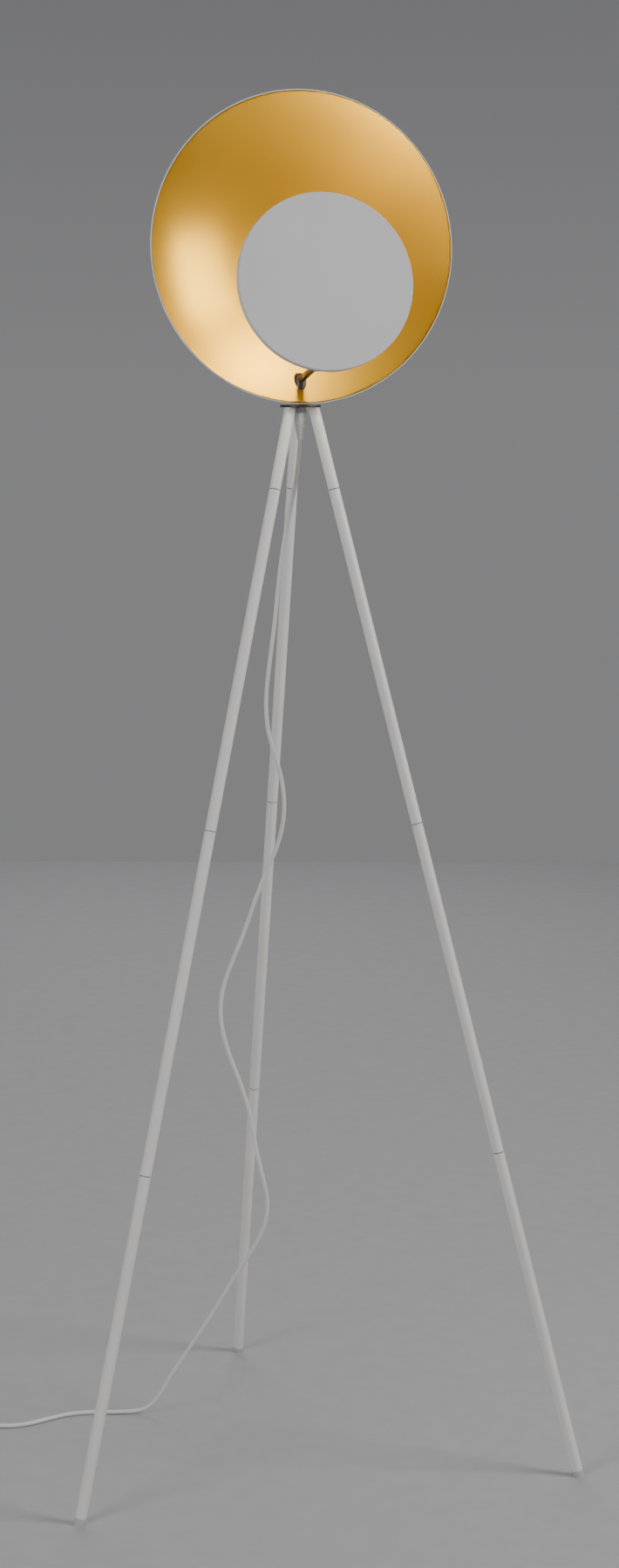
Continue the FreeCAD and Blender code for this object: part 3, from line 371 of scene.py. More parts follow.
def skin(name, tint, roughness, cloud, wear, grain, **sockets):
    """A material that three noises vary, each given by its scale and detail first. cloud moves the colour by its
    contrast, wear the roughness from low to high, and grain raises the surface by its strength and depth. sockets
    holds other values of the shader, as coat_weight for Coat Weight."""
    material = bpy.data.materials.get(name) or bpy.data.materials.new(name)
    material.use_nodes = True
    tree = material.node_tree
    shader = tree.nodes["Principled BSDF"]
    for socket, value in {"base_color": (*tint, 1), "roughness": roughness, "metallic": 0.0, **sockets}.items():
        shader.inputs[socket.replace("_", " ").title()].default_value = value
    if cloud:
        *noise, contrast = cloud
        ramp = tree.nodes.new("ShaderNodeValToRGB")
        for element, side in zip(ramp.color_ramp.elements, (-1, 1)):
            element.position = 0.5 + 0.2 * side
            element.color = (*[min(1.0, value * (1 + side * contrast)) for value in tint], 1)
        tree.links.new(pattern(tree, *noise), ramp.inputs["Fac"])
        tree.links.new(ramp.outputs["Color"], shader.inputs["Base Color"])
    *noise, low, high = wear
    spread = tree.nodes.new("ShaderNodeMapRange")
    for socket, value in {"From Min": 0.3, "From Max": 0.7, "To Min": low, "To Max": high}.items():
        spread.inputs[socket].default_value = value
    tree.links.new(pattern(tree, *noise), spread.inputs["Value"])
    tree.links.new(spread.outputs["Result"], shader.inputs["Roughness"])
    *noise, strength, depth = grain
    bump = tree.nodes.new("ShaderNodeBump")
    bump.inputs["Strength"].default_value = strength
    bump.inputs["Distance"].default_value = depth
    tree.links.new(pattern(tree, *noise), bump.inputs["Height"])
    tree.links.new(bump.outputs["Normal"], shader.inputs["Normal"])
    return material


def powder_coat(name, tint, roughness=0.42):
    """Powder coat: a fine orange-peel skin and a barely uneven tone."""
    return skin(name, tint, roughness, (9, 2, 0.025), (60, 3, roughness - 0.05, roughness + 0.07),
                (1400, 2, 0.25, 0.00012), coat_weight=0.15, coat_roughness=0.35)


def spun_gold():
    """Satin gold lacquer over spun metal: fine rings round the dish's axis, which the UV map follows."""
    return skin("spun_gold", colours().dish_gold, 0.28, (7, 2, 0.04), ((3, 500, 1), 1, 0.275, 0.290),
                ((2, 1800, 1), 1, 0.03, 0.00003), metallic=1.0, coat_weight=0.3, coat_roughness=0.28)


def dark_paint_and_shade():
    """Dark brown paint with a slight sheen, rubbed lighter in places. Its darkness is partly painted shade: the arm is
    made as dark as it looks in the shade under the dish.
    """
    return skin("dark_paint_and_shade", colours().bronze_and_shade, 0.38, (90, 4, 0.25), (220, 3, 0.30, 0.48),
                (1800, 2, 0.2, 0.00006), metallic=0.35)


def plated_steel(name="plated_steel", tint=None):
    """Plated steel: metal with a cloudy grain."""
    return skin(name, tint or colours().plated, 0.3, (160, 3, 0.10), (500, 3, 0.22, 0.42),
                (2500, 2, 0.15, 0.00003), metallic=1.0)


def plain_brass():
    """Turned brass, slightly tarnished."""
    return skin("plain_brass", colours().brass, 0.3, (120, 4, 0.14), (400, 2, 0.24, 0.44),
                (2200, 2, 0.15, 0.00003), metallic=1.0)


def moulded(name, tint, roughness=0.45, subsurface=0.0):
    """Moulded plastic: spark-eroded grain and a faint cloudiness."""
    return skin(name, tint, roughness, (30, 3, 0.03), (150, 2, roughness - 0.06, roughness + 0.08),
                (2600, 1, 0.25, 0.00005), subsurface_weight=subsurface, subsurface_scale=0.002)


def cord_sheath():
    """Extruded PVC: soft gloss and faint hand marks."""
    return skin("cord_sheath", colours().cord_white, 0.4, (14, 3, 0.04), (80, 2, 0.34, 0.50),
                (700, 2, 0.15, 0.00008), subsurface_weight=0.08, subsurface_scale=0.002)


def lit_glass():
    """Frosted glass that glows evenly."""
    glow = colours().glow
    return skin("lit_glass", glow, 0.5, None, (300, 2, 0.45, 0.6), (3000, 1, 0.2, 0.00003),
                emission_color=(*glow, 1), emission_strength=bpy.context.scene.lamp_light.bulb_strength)


# ---- stage and cord


def area_light(name, place, target, width, height, power, tint):
    """A large soft light that shines from place towards target."""
    data = bpy.data.lights.new(name, "AREA")
    data.shape = "RECTANGLE"
    data.size, data.size_y = width, height
    data.energy = power
    data.color = tint
    light = bpy.data.objects.new(name, data)
    bpy.context.scene.collection.objects.link(light)
    light.location = place
    aim = Vector(target) - light.location
    light.rotation_euler = aim.to_track_quat("-Z", "Y").to_euler()


def from_hub(x, y, z):
    """A point given from the hub axis and the floor."""
    return (HUB[0] + x, HUB[1] + y, z)


class LampStage(bpy.types.Operator):
    """Sets up the camera, the floor, the room and the lights"""

    bl_idname = "lamp.stage"
    bl_label = "Stage"

    def execute(self, context):
        light = context.scene.lamp_light
        data = bpy.data.cameras.new("camera")
        data.lens = light.lens
        data.sensor_width = 36
        data.clip_start, data.clip_end = 0.05, 100
        camera = bpy.data.objects.new("camera", data)
        context.scene.collection.objects.link(camera)
        aim = Euler((math.pi / 2 - light.pitch, 0, -light.yaw)).to_matrix() @ Matrix.Rotation(light.roll, 3, "Z")
        camera.matrix_world = Matrix.Translation(from_hub(*light.eye)) @ aim.to_4x4()
        context.scene.camera = camera
        self.floor(light)
        self.room(context, light)
        for name, place, target, width, height, power, tint in (
                ("key", (-2.7, -2.0, 1.9), (0, 0, 0.9), 1.4, 2.4, light.key_power, (1, 0.99, 0.98)),
                ("fill", (2.4, -1.35, 2.2), (0, 0, 1.1), 1.1, 1.4, light.fill_power, (1, 0.98, 0.95)),
                ("top", (0.2, 0.6, 3.6), (0, 0, 0.5), 2.6, 2.6, light.top_power, (1, 1, 1)),
                ("rear", (0.6, 3.8, 3.0), (0, 0.8, 0.6), 3.0, 3.0, light.rear_power, (1, 1, 1))):
            area_light(name, from_hub(*place), from_hub(*target), width, height, power, tint)
        return {"FINISHED"}

    def floor(self, light):
        """One plain floor: a grid of sideways * u + ahead * v, square to the camera."""
        ahead = np.array((math.sin(light.yaw), math.cos(light.yaw), 0))
        sideways = np.array((ahead[1], -ahead[0], 0))
        reach = np.linspace(-light.floor_reach, light.floor_reach, 3)
        grid = reach[:, None, None] * sideways + reach[None, :, None] * ahead
        ground = surface("floor", grid + np.array((HUB[0], HUB[1], 0)))
        ground.data.materials.append(moulded("floor_paint", colours().floor, 0.75))

    def room(self, context, light):
        """A world that grows darker upwards."""
        world = bpy.data.worlds.new("room")
        world.use_nodes = True
        tree = world.node_tree
        where = tree.nodes.new("ShaderNodeTexCoord")
        split = tree.nodes.new("ShaderNodeSeparateXYZ")
        ramp = tree.nodes.new("ShaderNodeValToRGB")
        ramp.color_ramp.elements[0].color = (0.90, 0.90, 0.92, 1)
        ramp.color_ramp.elements[1].color = (0.66, 0.66, 0.68, 1)
        ramp.color_ramp.elements[1].position = 0.16
        background = tree.nodes["Background"]
        background.inputs["Strength"].default_value = light.sky
        tree.links.new(where.outputs["Generated"], split.inputs["Vector"])
        tree.links.new(split.outputs["Z"], ramp.inputs["Fac"])
        tree.links.new(ramp.outputs["Color"], background.inputs["Color"])
        context.scene.world = world


def switch_ends():
    """The middles of the foot switch's two ends, and the way it lies."""
    way = np.array((math.cos(SWITCH_BEARING), math.sin(SWITCH_BEARING), 0))
    low, high = (np.array(corner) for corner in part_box("switch_base"))
    middle = (low + high) / 2
    near = np.array(from_hub(*CORD_DROP_ROUTE[-1]))
    reach = (middle - near)[:2] @ way[:2]
    return near, near + 2 * reach * way, way


def coil_turns(centre, size):
    """Control points of the put-away turns, clockwise: two lie side by side on the floor and the rest on them. Radius
    and height pass smoothly from one place to the next over the last part of each turn."""
    total = COIL_START - COIL_END + 2 * math.pi * size.coil_turns
    angle = np.linspace(0, total, 15 * size.coil_turns)
    turns = angle / (2 * math.pi)
    outer = size.coil_width / 2
    radii = (outer + ON_FLOOR, outer - ON_FLOOR, outer) + (outer,) * size.coil_turns
    heights = (ON_FLOOR, ON_FLOOR, ON_CORD) + (ON_CORD,) * size.coil_turns
    number = np.minimum(turns.astype(int), len(radii) - 2)
    share = np.clip((turns - number - 0.8) / 0.2, 0, 1)
    share = share * share * (3 - 2 * share)
    radius = np.array(radii)[number] * (1 - share) + np.array(radii)[number + 1] * share
    height = np.array(heights)[number] * (1 - share) + np.array(heights)[number + 1] * share
    where = COIL_START - angle
    return np.stack((centre[0] + radius * np.cos(where), centre[1] + radius * np.sin(where), height), axis=-1)


def cord_curve(name, points, diameter):
    """A cord along a smooth line with the points as its control points."""
    data = bpy.data.curves.new(name, "CURVE")
    data.dimensions = "3D"
    data.bevel_depth = diameter / 2
    data.bevel_resolution = 6
    data.use_fill_caps = True
    data.resolution_u = 10
    spline = data.splines.new("NURBS")
    points = np.asarray(points, float)
    spline.points.add(len(points) - 1)
    spline.points.foreach_set("co", np.column_stack((points, np.ones(len(points)))).reshape(-1))
    spline.order_u = 3
    spline.use_endpoint_u = True
    curve = bpy.data.objects.new(name, data)
    bpy.context.scene.collection.objects.link(curve)
    return curve


def along_cord(route, reach, steps):
    """Evenly spaced points and directions over the first stretch of a cord's smooth line. The line is made of
    parabolas between the middles of the route's legs, each with a route point as its corner."""
    route = np.asarray(route, float)
    middles = (route[1:-2] + route[2:-1]) / 2
    starts = np.vstack((route[:1], middles))[:-1]
    share = np.linspace(0, 1, 40, endpoint=False)[None, :, None]
    corners = route[1 : len(starts) + 1]
    line = (1 - share) ** 2 * starts[:, None] + 2 * share * (1 - share) * corners[:, None] + share**2 * middles[:, None]
    line = line.reshape(-1, 3)
    gone = np.concatenate(([0], np.cumsum(np.linalg.norm(np.diff(line, axis=0), axis=1))))
    wanted = np.linspace(0, reach, steps)
    places = np.stack([np.interp(wanted, gone, line[:, axis]) for axis in range(3)], axis=-1)
    ways = np.gradient(places, axis=0)
    return places, ways / np.linalg.norm(ways, axis=1, keepdims=True)


def strain_relief(name, route, thick, material):
    """A tapered sleeve with ring grooves, carried along the cord: its radius falls evenly from thick to the tip's,
    less a raised cosine that repeats along it, and both its ends close round the cord."""
    steps = 61
    places, ways = along_cord(route, SLEEVE_REACH, steps)
    share = np.linspace(0, 1, steps)
    radius = thick + (SLEEVE_TIP - thick) * share - 0.35 * MM * (1 - np.cos(2 * np.pi * 6 * share)) / 2
    closed = [0, *range(steps), steps - 1]
    places, ways = places[closed], ways[closed]
    radius = np.concatenate(([0], radius, [0]))
    side = np.cross(UP, ways)
    side /= np.linalg.norm(side, axis=1, keepdims=True)
    angle = np.linspace(0, 2 * np.pi, 49)[None, :, None]
    ring = np.cos(angle) * side[:, None] + np.sin(angle) * np.cross(ways, side)[:, None]
    sleeve = surface(name, places[:, None] + radius[:, None, None] * ring)
    return finished(sleeve, "tripod", "white_plastic", material)


class LampCord(bpy.types.Operator):
    """Lays the cord from the lamp to the foot switch, and on through its put-away coil to the plug"""

    bl_idname = "lamp.cord"
    bl_label = "Cord, switch and plug"

    def execute(self, context):
        size = context.scene.lamp_sizes
        sheath = cord_sheath()
        self.white = moulded("white_plastic", context.scene.lamp_colours.plastic_white, 0.42, 0.05)
        near, far, way = switch_ends()
        switch = self.foot_switch(near, far, way)
        drop_points = np.array([from_hub(*point) for point in CORD_DROP_ROUTE])
        drop_points[0, 2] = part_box("cord_grip")[0].z
        drop = finished(cord_curve("cord_drop_sheath", drop_points, size.cord_diameter), "tripod", "cord_sheath",
                        sheath, "cord_drop")
        grip = strain_relief("switch_inlet_sleeve", drop_points[::-1], 4.6 * MM, self.white)

        lead, tail = (route + (far[0], far[1], 0) for route in (CORD_LEAD_ROUTE, CORD_TAIL_ROUTE))
        centre = far[:2] + COIL_CENTRE
        turns = coil_turns(centre, size)
        coil = finished(cord_curve("cord_coil_sheath", np.vstack((lead, turns, tail)), size.cord_diameter), "tripod",
                        "cord_sheath", sheath, "cord_lead", "cord_coil", "cord_tail")
        outlet = strain_relief("switch_outlet_sleeve", np.vstack((lead, turns[:3])), 4.6 * MM, self.white)
        tie = self.tie(centre, size)
        plug = self.plug(tail, np.vstack((turns[-3:], tail)))
        return {"FINISHED"}

    def foot_switch(self, near, far, way):
        """Base, cover and ringed button."""
        middle = (near + far) / 2
        reach = float(np.linalg.norm(far - near))
        split, top, high = (levels(node)[1] for node in ("switch_base", "switch_cover", "switch_button"))
        width, squareness = 30 * MM, 4.2
        base = pillow("switch_base_shell", middle, way, reach, width,
                      mm((2, 0), (1.2, 0.05), (0.4, 0.7), (0.1, 2), (0.1, split - 0.8), (0.5, split - 0.4),
                         (0.9, split - 0.35), (0.9, split)), squareness)
        cover = pillow("switch_cover_shell", middle, way, reach, width,
                       mm((0.9, split), (0.9, split + 0.1), (0.3, split + 0.2), (0.05, split + 0.8), (0.3, top - 4.5),
                          (1.2, top - 2), (2.6, top - 0.7), (4.5, top - 0.2), (7.2, top)), squareness)
        finished(base, "tripod", "white_plastic", self.white, "switch_base")
        finished(cover, "tripod", "white_plastic", self.white, "switch_cover")
        dressed("switch_unit", moulded("switch_unit_plastic", colours().plastic_black))
        button = revolved("switch_button_cap", self.button_outline(top, high), (middle[0], middle[1], 0), UP,
                          columns=64)
        finished(button, "button", "white_plastic", moulded("button_plastic", colours().plastic_white, 0.35),
                 "switch_button")
        return [base, cover, button, frame["nodes"]["switch_unit"]]

    def button_outline(self, top, high):
        """The button's skirt, its rounded edge, and a crown with two rings: height = high - depth * (1 + cos(14 *
        share)) / 2, where share grows from the edge to the middle."""
        share = np.linspace(0.15, 1, 40)
        crown = np.column_stack((7.4 * (1 - share), high - 0.35 * (1 + np.cos(14 * share)) / 2))
        skirt = ((0, top - 3), (7.5, top - 3), (7.5, high - 1.2), (7.2, high - 0.6), (6.8, high - 0.4))
        return np.vstack((skirt, crown)) * MM

    def tie(self, centre, size):
        """A soft band round the bundle, at the side of the coil away from the switch."""
        outward = np.array((math.cos(math.radians(20)), math.sin(math.radians(20)), 0))
        around = np.cross(UP, outward)
        middle = np.array((centre[0], centre[1], 0)) + outward * size.coil_width / 2 + UP * 6.0 * MM
        angle = np.linspace(0, 2 * np.pi, 65)
        ring = np.cos(angle)[:, None] * outward * 6.1 * MM + np.sin(angle)[:, None] * UP * 5.6 * MM
        profile = softened(mm((0, -3, 0.3), (0, 3, 0.3), (0.6, 3, 0.3), (0.6, -3, 0.3)), steps=2)
        profile = np.vstack((profile, profile[:1]))
        points = middle + ring[None] * (1 + profile[:, 0, None, None] / (6 * MM)) + profile[:, 1, None, None] * around
        tie = surface("coil_tie", points)
        return finished(tie, "tripod", "dark_plastic", moulded("tie_band", colours().plastic_black, 0.6))

    def plug(self, tail, last_stretch):
        """A flat moulded plug with a sleeve round the cord and two pins, each sleeved for half its length."""
        way = unit((tail[-1] - tail[-2]) * (1, 1, 0))
        start = tail[-1] * (1, 1, 0)
        reach, width, high = 36 * MM, 35 * MM, 14
        centre = start + way * reach / 2
        shell = pillow("plug_shell", centre, way, reach, width,
                       mm((4, 0), (2.2, 0.2), (0.8, 1.2), (0.1, 3.4), (0.1, 6.6), (0.5, 6.8), (0.5, 7.2), (0.1, 7.4),
                          (0.1, high - 3.4), (0.8, high - 1.2), (2.2, high - 0.2), (4, high)), 4.0)
        finished(shell, "tripod", "white_plastic", self.white, "plug_body")
        side = np.array((-way[1], way[0], 0))
        tip = start + way * reach + UP * high * MM / 2
        sleeved = 10
        outline = softened(mm((0, -1, 0), (2, -1, 0), (2, sleeved, 0.2), (1.9, 10.1, 0), (1.95, 19, 1.2), (0, 19, 0)))
        finish = (outline[:-1, 1] > sleeved * MM).astype(np.int32)
        pins = joined("plug_pins_turned", *(
            revolved("pin", outline, tip + side * (sign * 9.5 * MM), way, columns=32, finish_of_row=finish)
            for sign in (-1, 1)))
        finished(pins, "tripod", "zinc_steel",
                 [moulded("pin_sleeve", colours().plastic_black), plated_steel()], "plug_pins")
        boot = strain_relief("plug_sleeve", last_stretch[::-1], 4.4 * MM, self.white)
        return [shell, pins, boot]


# ---- tripod


def leg_line(leg):
    """Where a leg's axis meets the floor, and the unit vector up it."""
    size = sizes()
    foot = np.array(MOUNTS[f"floor_{leg}"]["pos_m"], float)
    outward = unit((foot - HUB) * (1, 1, 0))
    top = HUB + outward * size.leg_offset - UP * size.hub_thickness
    return foot, unit(top - foot)


class LampLegs(bpy.types.Operator):
    """Builds the screwed leg tubes, their stubs and their feet"""

    bl_idname = "lamp.legs"
    bl_label = "Legs"

    def execute(self, context):
        size = context.scene.lamp_sizes
        paint = powder_coat("leg_powder_coat", colours().leg_white)
        foot_plastic = moulded("foot_plastic", colours().foot_grey, 0.5)
        # The collars' dark steel also paints the shade in the seam gaps between leg sections.
        seam_shade_steel = plated_steel("collar_steel_and_seam_shade", colours().joiner)
        radius = size.tube_diameter / 2
        bore = radius - size.tube_wall
        for leg in LEGS:
            foot, axis = leg_line(leg)
            for number, section in enumerate(("lower", "middle", "upper")):
                start = number * size.section_length + size.seam / 2 if number else size.foot_height
                end = (number + 1) * size.section_length - size.seam / 2
                piece = tube(f"tube_{section}_{leg}", radius, bore, start, end, foot, axis)
                finished(piece, "tripod", "leg_paint", paint, f"leg_{section}_{leg}")
            start = 3 * size.section_length + size.seam / 2
            outline = ((bore, start), (radius - 0.3 * MM, start), (radius, start + 0.3 * MM), (radius, start + 1 * MM),
                       (radius, np.nan), (bore, np.nan))
            stub = revolved(f"stub_{leg}", outline, foot, axis, columns=64, closed=True,
                            level=HUB[2] - size.hub_thickness)
            finished(stub, "tripod", "leg_paint", paint, f"leg_stub_{leg}")
            self.foot(leg, foot, axis, radius, size, foot_plastic)
            dressed(f"leg_joiners_{leg}", seam_shade_steel)
        return {"FINISHED"}

    def foot(self, leg, base, axis, radius, size, material):
        """A plastic foot cut off level with the floor, with its plug in the tube."""
        out, top = radius / MM + 0.4, size.foot_height / MM
        outline = mm((0, np.nan), (out, np.nan), (out, top - 0.9), (out - 0.1, top - 0.4), (out - 0.5, top),
                     (5.4, top), (5.4, top + 11.5), (4.9, top + 12), (0, top + 12))
        piece = revolved(f"foot_cap_{leg}", outline, base, axis, columns=64, level=0.0)
        finished(piece, "tripod", "foot_plastic", material, f"foot_{leg}")


class LampHub(bpy.types.Operator):
    """Builds the hub plate with its pegs and the cord grip, and dresses the swivel's small parts"""

    bl_idname = "lamp.hub"
    bl_label = "Hub"

    def execute(self, context):
        size = context.scene.lamp_sizes
        paint = dark_paint_and_shade()
        out, thick = size.hub_diameter / 2, size.hub_thickness
        base = HUB - UP * thick
        ring = revolved("plate", softened(((out, 0, 0.5 * MM), (out, thick, 0.7 * MM), (4.05 * MM, thick, 0.2 * MM),
                                           (4.05 * MM, 0, 0.2 * MM))), base, UP, columns=128, closed=True)
        pegs = []
        for leg in LEGS:
            foot, axis = leg_line(leg)
            start = 3 * size.section_length / MM + 67
            outline = mm((0, start), (4.9, start), (5.4, start + 0.5), (5.4, np.nan), (0, np.nan))
            pegs.append(revolved("peg", outline, foot, axis, columns=48, level=HUB[2] - thick))
        finished(joined("hub_plate_turned", ring, *pegs), "tripod", "dark_metal", paint, "hub_plate")
        self.grip()
        for node in ("swivel_stem", "stem_washer", "stem_nut", "stem_circlip"):
            dressed(node, plated_steel())
        dressed("friction_washer", moulded("swivel_nylon", colours().nylon, 0.5))
        dressed("stem_lead", cord_sheath())
        return {"FINISHED"}

    def grip(self):
        """The cord grip: a plain collar, then a taper with ring grooves down to the cord."""
        low, high = levels("cord_grip")
        tall, collar = high - low, 9
        share = np.linspace(0, 1, 61)[1:-1]
        taper = np.column_stack((3.6 + 3.4 * share - 0.45 * (1 - np.cos(2 * np.pi * 6 * share)) / 2,
                                 (tall - collar) * share))
        outline = np.vstack((((0, 0), (3.3, 0), (3.6, 0.3)), taper,
                             softened(((7, tall - collar, 0), (7, tall, 0.6), (4.05, tall, 0))),
                             ((4.05, tall - 7), (0, tall - 7))))
        grip = revolved("cord_grip_moulded", outline * MM, (HUB[0], HUB[1], low * MM), UP, columns=64)
        finished(grip, "tripod", "white_plastic", moulded("grip_plastic", colours().plastic_white, 0.4), "cord_grip")


# ---- head


def looking(tilt):
    """Unit vector that a face looks along when it is tilted up that far."""
    return np.array((0.0, -math.cos(tilt), math.sin(tilt)))


def dish_frame():
    """The rim's centre, the way the dish looks, and the radii of the rim and of the ball that the sheet follows."""
    size = sizes()
    edge = size.dish_diameter / 2 - size.dish_bead
    ball = (edge**2 + size.dish_depth**2) / (2 * size.dish_depth)
    rise = size.dish_lift + edge * math.cos(size.dish_tilt) + size.dish_bead
    return HUB + (0, -size.dish_ahead, rise), looking(size.dish_tilt), edge, ball


def on_ball(radius_from_axis, angle, offset):
    """Heights at which upright lines round the hub axis meet the lower side of the dish's ball, made larger by
    offset: z = ball centre - sqrt(R^2 - dx^2 - dy^2)."""
    rim, look, _, ball = dish_frame()
    centre = rim + look * (ball - sizes().dish_depth)
    dx = HUB[0] + radius_from_axis * np.cos(angle) - centre[0]
    dy = HUB[1] + radius_from_axis * np.sin(angle) - centre[1]
    return centre[2] - np.sqrt((ball + offset) ** 2 - dx**2 - dy**2)


def upright(name, rows):
    """An upright closed ring round the hub axis. rows lists (radius, height) in millimetres, where height may also be
    a function of the radius and the angle that gives metres."""
    angle = np.linspace(0, 2 * np.pi, 97)
    points = []
    for radius, height in (*rows, rows[0]):
        radius = radius * MM
        z = height(radius, angle) if callable(height) else np.full_like(angle, height * MM)
        points.append(np.column_stack((HUB[0] + radius * np.cos(angle), HUB[1] + radius * np.sin(angle), z)))
    return surface(name, np.array(points))


class LampDish(bpy.types.Operator):
    """Builds the dish with its rolled rim, and the saddle and knuckle that carry it"""

    bl_idname = "lamp.dish"
    bl_label = "Dish"

    def execute(self, context):
        size = context.scene.lamp_sizes
        self.dish(size)
        paint = dark_paint_and_shade()
        sheet = size.dish_sheet / 2
        foot = levels("saddle")[0]
        top = levels("knuckle")[1]

        def outside(radius, angle):
            return on_ball(radius, angle, sheet)

        def inside(radius, angle):
            return np.minimum(on_ball(radius, angle, -sheet), (top - 2) * MM)

        saddle = upright("saddle_cast", ((6.05, foot), (12.4, foot), (13, foot + 0.6), (13, foot + 1.5), (13, outside),
                                         (9, outside), (6.05, outside)))
        finished(saddle, "head", "dark_metal", paint, "saddle")
        knuckle = upright("knuckle_turned", ((5.1, inside), (7, inside), (7, top - 1), (6.8, top - 0.5), (6.3, top),
                                             (5.1, top)))
        finished(knuckle, "head", "dark_metal", paint, "knuckle")
        lid = rod("knuckle_lid", 6 * MM, 0, 2 * MM, (HUB[0], HUB[1], top * MM), UP, soft=0.9 * MM)
        finished(lid, "head", "dark_metal", paint, "knuckle_cap")
        dressed("saddle_grub_screw", plated_steel())
        return {"FINISHED"}

    def dish(self, size):
        """Inner arc from the middle to the rim, the rolled bead, and the outer arc back to the middle. An arc's point
        is (rho * sin a, depth - ball + rho * cos a), and the bead's a circle round the rim's end of the sheet."""
        rim, look, edge, ball = dish_frame()
        sheet = size.dish_sheet / 2
        rim_angle = math.asin(edge / ball)
        meet = math.asin(sheet / size.dish_bead)
        last = rim_angle - size.dish_bead * math.cos(meet) / ball
        arc = np.linspace(0, last, 90)
        centre = size.dish_depth - ball
        inner = np.column_stack(((ball - sheet) * np.sin(arc), centre + (ball - sheet) * np.cos(arc)))
        outer = np.column_stack(((ball + sheet) * np.sin(arc), centre + (ball + sheet) * np.cos(arc)))[::-1]
        inward = np.array((-math.cos(rim_angle), math.sin(rim_angle)))
        normal = np.array((-math.sin(rim_angle), -math.cos(rim_angle)))
        round_bead = np.linspace(meet, 2 * np.pi - meet, 26)[1:-1, None]
        bead = np.array((edge, 0)) + size.dish_bead * (np.cos(round_bead) * inward + np.sin(round_bead) * normal)
        outline = np.vstack((inner, bead, outer))
        finish = (np.arange(len(outline) - 1) >= len(inner) + 8).astype(np.int32)
        dish = revolved("dish_spun", outline, rim, -look, columns=256, finish_of_row=finish)
        finished(dish, "head", "dish_paint", [spun_gold(), powder_coat("dish_powder_coat", colours().dish_white)],
                 "dish")


def arm_line():
    """The arm's root on the hub axis, the way it points, and its end on the holder's axis."""
    size = sizes()
    way = looking(size.arm_rise)
    root = HUB + UP * size.arm_height
    return root, way, root + way * (size.arm_reach / math.cos(size.arm_rise))


class LampArm(bpy.types.Operator):
    """Builds the arm, the block at its end, the stay, the lamp holder and the bulb"""

    bl_idname = "lamp.arm"
    bl_label = "Arm and bulb"

    def execute(self, context):
        size = context.scene.lamp_sizes
        paint = dark_paint_and_shade()
        root, way, end = arm_line()
        start = 5.4 * MM
        stop = float(np.linalg.norm(end - root)) - 3 * MM
        # The arm's dark paint is painted shade, as dark as the arm looks under the dish.
        arm = tube("arm_drawn", size.arm_diameter / 2, 2.8 * MM, start, stop, root, way, soft=0.2 * MM)
        finished(arm, "head", "dark_metal", paint, "arm")
        dressed("arm_lead", cord_sheath())
        low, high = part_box("holder_block")
        block = rod("holder_block_turned", 8 * MM, low.z, high.z, end * (1, 1, 0), UP, soft=0.9 * MM)
        finished(block, "head", "dark_metal", paint, "holder_block")
        self.stay(end, paint)
        self.holder(end)
        self.bulb(end)
        return {"FINISHED"}

    def stay(self, end, paint):
        """The rod and the eye that the disc's clevis turns on."""
        way = unit(PIVOT - end)
        reach = float(np.linalg.norm(PIVOT - end))
        bar = rod("bar", 3 * MM, 5 * MM, reach - 4 * MM, end, way, soft=0.2 * MM)
        eye = tube("eye", 6 * MM, 2.05 * MM, -3.5 * MM, 3.5 * MM, PIVOT, SIDEWAYS, soft=0.5 * MM)
        finished(joined("stay_forged", bar, eye), "head", "dark_metal", paint, "stay")

    def holder(self, end):
        """Heights from the holder's foot: a coned base, a plain waist, ring grooves and a lip round the socket."""
        low, high = levels("lamp_holder")
        tall = high - low
        share = np.linspace(0, 1, 41)
        side = np.column_stack((13.6 - 0.5 * (1 - np.cos(2 * np.pi * 5 * share)) / 2, 18 + 14 * share))
        outline = np.vstack((
            softened(((2.8, 0, 0), (8, 0, 0.3), (14, 9, 1.2), (14, 16, 0.3), (13.6, 16.4, 0))), side,
            softened(((13.6, tall - 9, 0), (14, tall - 8.6, 0.2), (14, tall, 1), (8, tall, 0.5), (8, tall - 24, 0),
                      (2.8, tall - 24, 0)))))
        holder = revolved("lamp_holder_moulded", outline * MM, (end[0], end[1], low * MM), UP, closed=True)
        finished(holder, "head", "dark_plastic", moulded("holder_plastic", colours().plastic_black, 0.35),
                 "lamp_holder")
        dressed("socket_shell", plain_brass())

    def bulb(self, end):
        """The screw cap with its thread, r = 6.8 + 0.2 * cos(2 pi * height / pitch) in millimetres, the flared
        collar, and the globe, a ball cut off where it meets the collar."""
        foot = np.array((end[0], end[1], 0))
        low, high = levels("bulb_cap")
        heights = np.linspace(low + 3, high, 80)
        thread = np.column_stack((6.8 + 0.2 * np.cos(2 * np.pi * (heights - low) / 2.8), heights))
        outline = np.vstack((((0, low), (3.5, low), (3.5, low + 0.6), (6.6, low + 2.6)), thread, ((0, high),)))
        finished(revolved("bulb_cap_threaded", outline * MM, foot, UP, columns=48), "head", "zinc_steel",
                 plated_steel(), "bulb_cap")
        low, high = levels("bulb_collar")
        share = np.linspace(0, 1, 16)
        flare = np.column_stack((9 + 8 * share**0.8, low + (high - low) * share))
        outline = np.vstack((((0, low), (8.6, low)), flare, ((16.4, high), (0, high))))
        finished(revolved("bulb_collar_moulded", outline * MM, foot, UP), "head", "white_plastic",
                 moulded("collar_plastic", colours().plastic_white, 0.35), "bulb_collar")
        low, high = levels("bulb_globe")
        radius = 22.5
        centre = high - radius
        arc = np.linspace(math.acos((low - centre) / radius), 0, 60)
        ball = np.column_stack((radius * np.sin(arc), centre + radius * np.cos(arc)))
        outline = np.vstack((((0, low + 0.05),), ball))
        finished(revolved("bulb_globe_frosted", outline * MM, foot, UP, columns=128), "head", "frosted_glass",
                 lit_glass(), "bulb_globe")


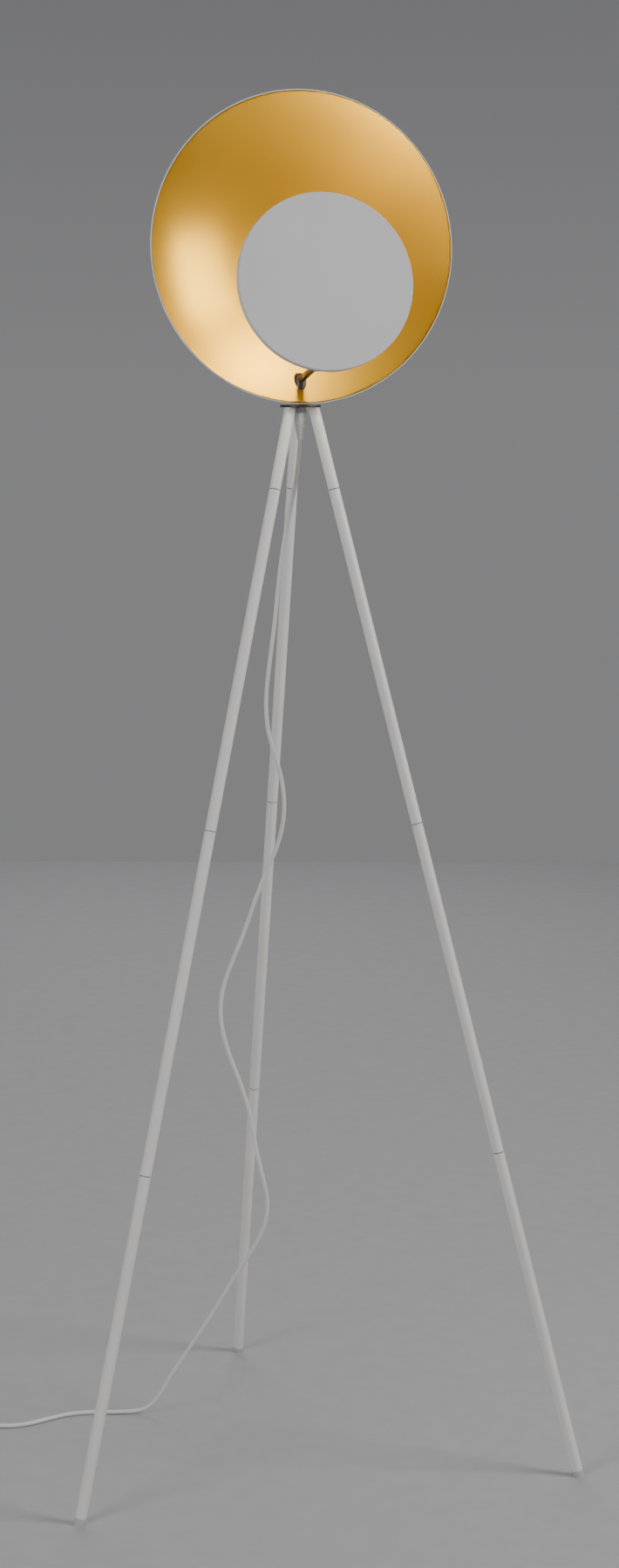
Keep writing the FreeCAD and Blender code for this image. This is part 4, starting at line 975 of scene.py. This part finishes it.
class LampDisc(bpy.types.Operator):
    """Builds the front disc and the knurled nut of its hinge"""

    bl_idname = "lamp.disc"
    bl_label = "Front disc"

    def execute(self, context):
        size = context.scene.lamp_sizes
        look = looking(size.disc_lean)
        down = np.array((0.0, -math.sin(size.disc_lean), -math.cos(size.disc_lean)))
        centre = PIVOT - down * size.disc_drop + look * size.disc_standoff
        out, sheet, deep = size.disc_diameter / 2, size.disc_sheet, size.disc_flange
        front = softened(((0, 0, 0), (out, 0, 1.3 * MM), (out, deep, 0.35 * MM), (out - sheet, deep, 0)), steps=6)
        back = softened(((out - sheet, deep, 0), (out - sheet, sheet, 0.6 * MM), (0, sheet, 0)), steps=6)[1:]
        outline = np.vstack((front, back))
        finish = (np.arange(len(outline) - 1) >= len(front) - 1).astype(np.int32)
        disc = revolved("front_disc_pressed", outline, centre, -look, columns=256, finish_of_row=finish)
        finished(disc, "disc", "disc_paint",
                 [powder_coat("disc_powder_coat", colours().disc_white, 0.55), dark_paint_and_shade()], "front_disc")
        dressed("disc_clevis", dark_paint_and_shade())
        dressed("hinge_screw", plated_steel())
        start, end = ((corner.x - PIVOT[0]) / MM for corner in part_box("hinge_nut"))
        outline = softened(mm((5.35, start, 0.5), (5.35, end, 0.5), (2, end, 0.2), (2, start, 0.2)))
        nut = revolved("hinge_nut_knurled", outline, PIVOT, SIDEWAYS, columns=144, closed=True, flute=(24, 0.025))
        finished(nut, "disc", "brass", plain_brass(), "hinge_nut")
        return {"FINISHED"}


OPERATORS = (LampStage, LampCord, LampLegs, LampHub, LampDish, LampArm, LampDisc)


class LampPanel(bpy.types.Panel):
    """Lists the lamp's sizes, colours and steps in the sidebar"""

    bl_idname = "VIEW3D_PT_lamp"
    bl_label = "Tripod floor lamp"
    bl_space_type = "VIEW_3D"
    bl_region_type = "UI"
    bl_category = "Lamp"

    def draw(self, context):
        for group in (context.scene.lamp_sizes, context.scene.lamp_colours, context.scene.lamp_light):
            box = self.layout.box()
            for name in group.__annotations__:
                box.prop(group, name)
        for operator in OPERATORS:
            self.layout.operator(operator.bl_idname)


GROUPS = {"lamp_sizes": LampSizes, "lamp_colours": LampColours, "lamp_light": LampLight}


def register():
    for group in GROUPS.values():
        bpy.utils.register_class(group)
    for name, group in GROUPS.items():
        setattr(bpy.types.Scene, name, PointerProperty(type=group))
    for operator in OPERATORS:
        bpy.utils.register_class(operator)
    bpy.utils.register_class(LampPanel)


def unregister():
    bpy.utils.unregister_class(LampPanel)
    for operator in reversed(OPERATORS):
        bpy.utils.unregister_class(operator)
    for name in GROUPS:
        delattr(bpy.types.Scene, name)
    for group in reversed(list(GROUPS.values())):
        bpy.utils.unregister_class(group)


def main():
    register()
    bpy.ops.lamp.stage()
    bpy.ops.lamp.cord()
    bpy.ops.lamp.legs()
    bpy.ops.lamp.hub()
    bpy.ops.lamp.dish()
    bpy.ops.lamp.arm()
    bpy.ops.lamp.disc()


if __name__ == "__main__":
    main()
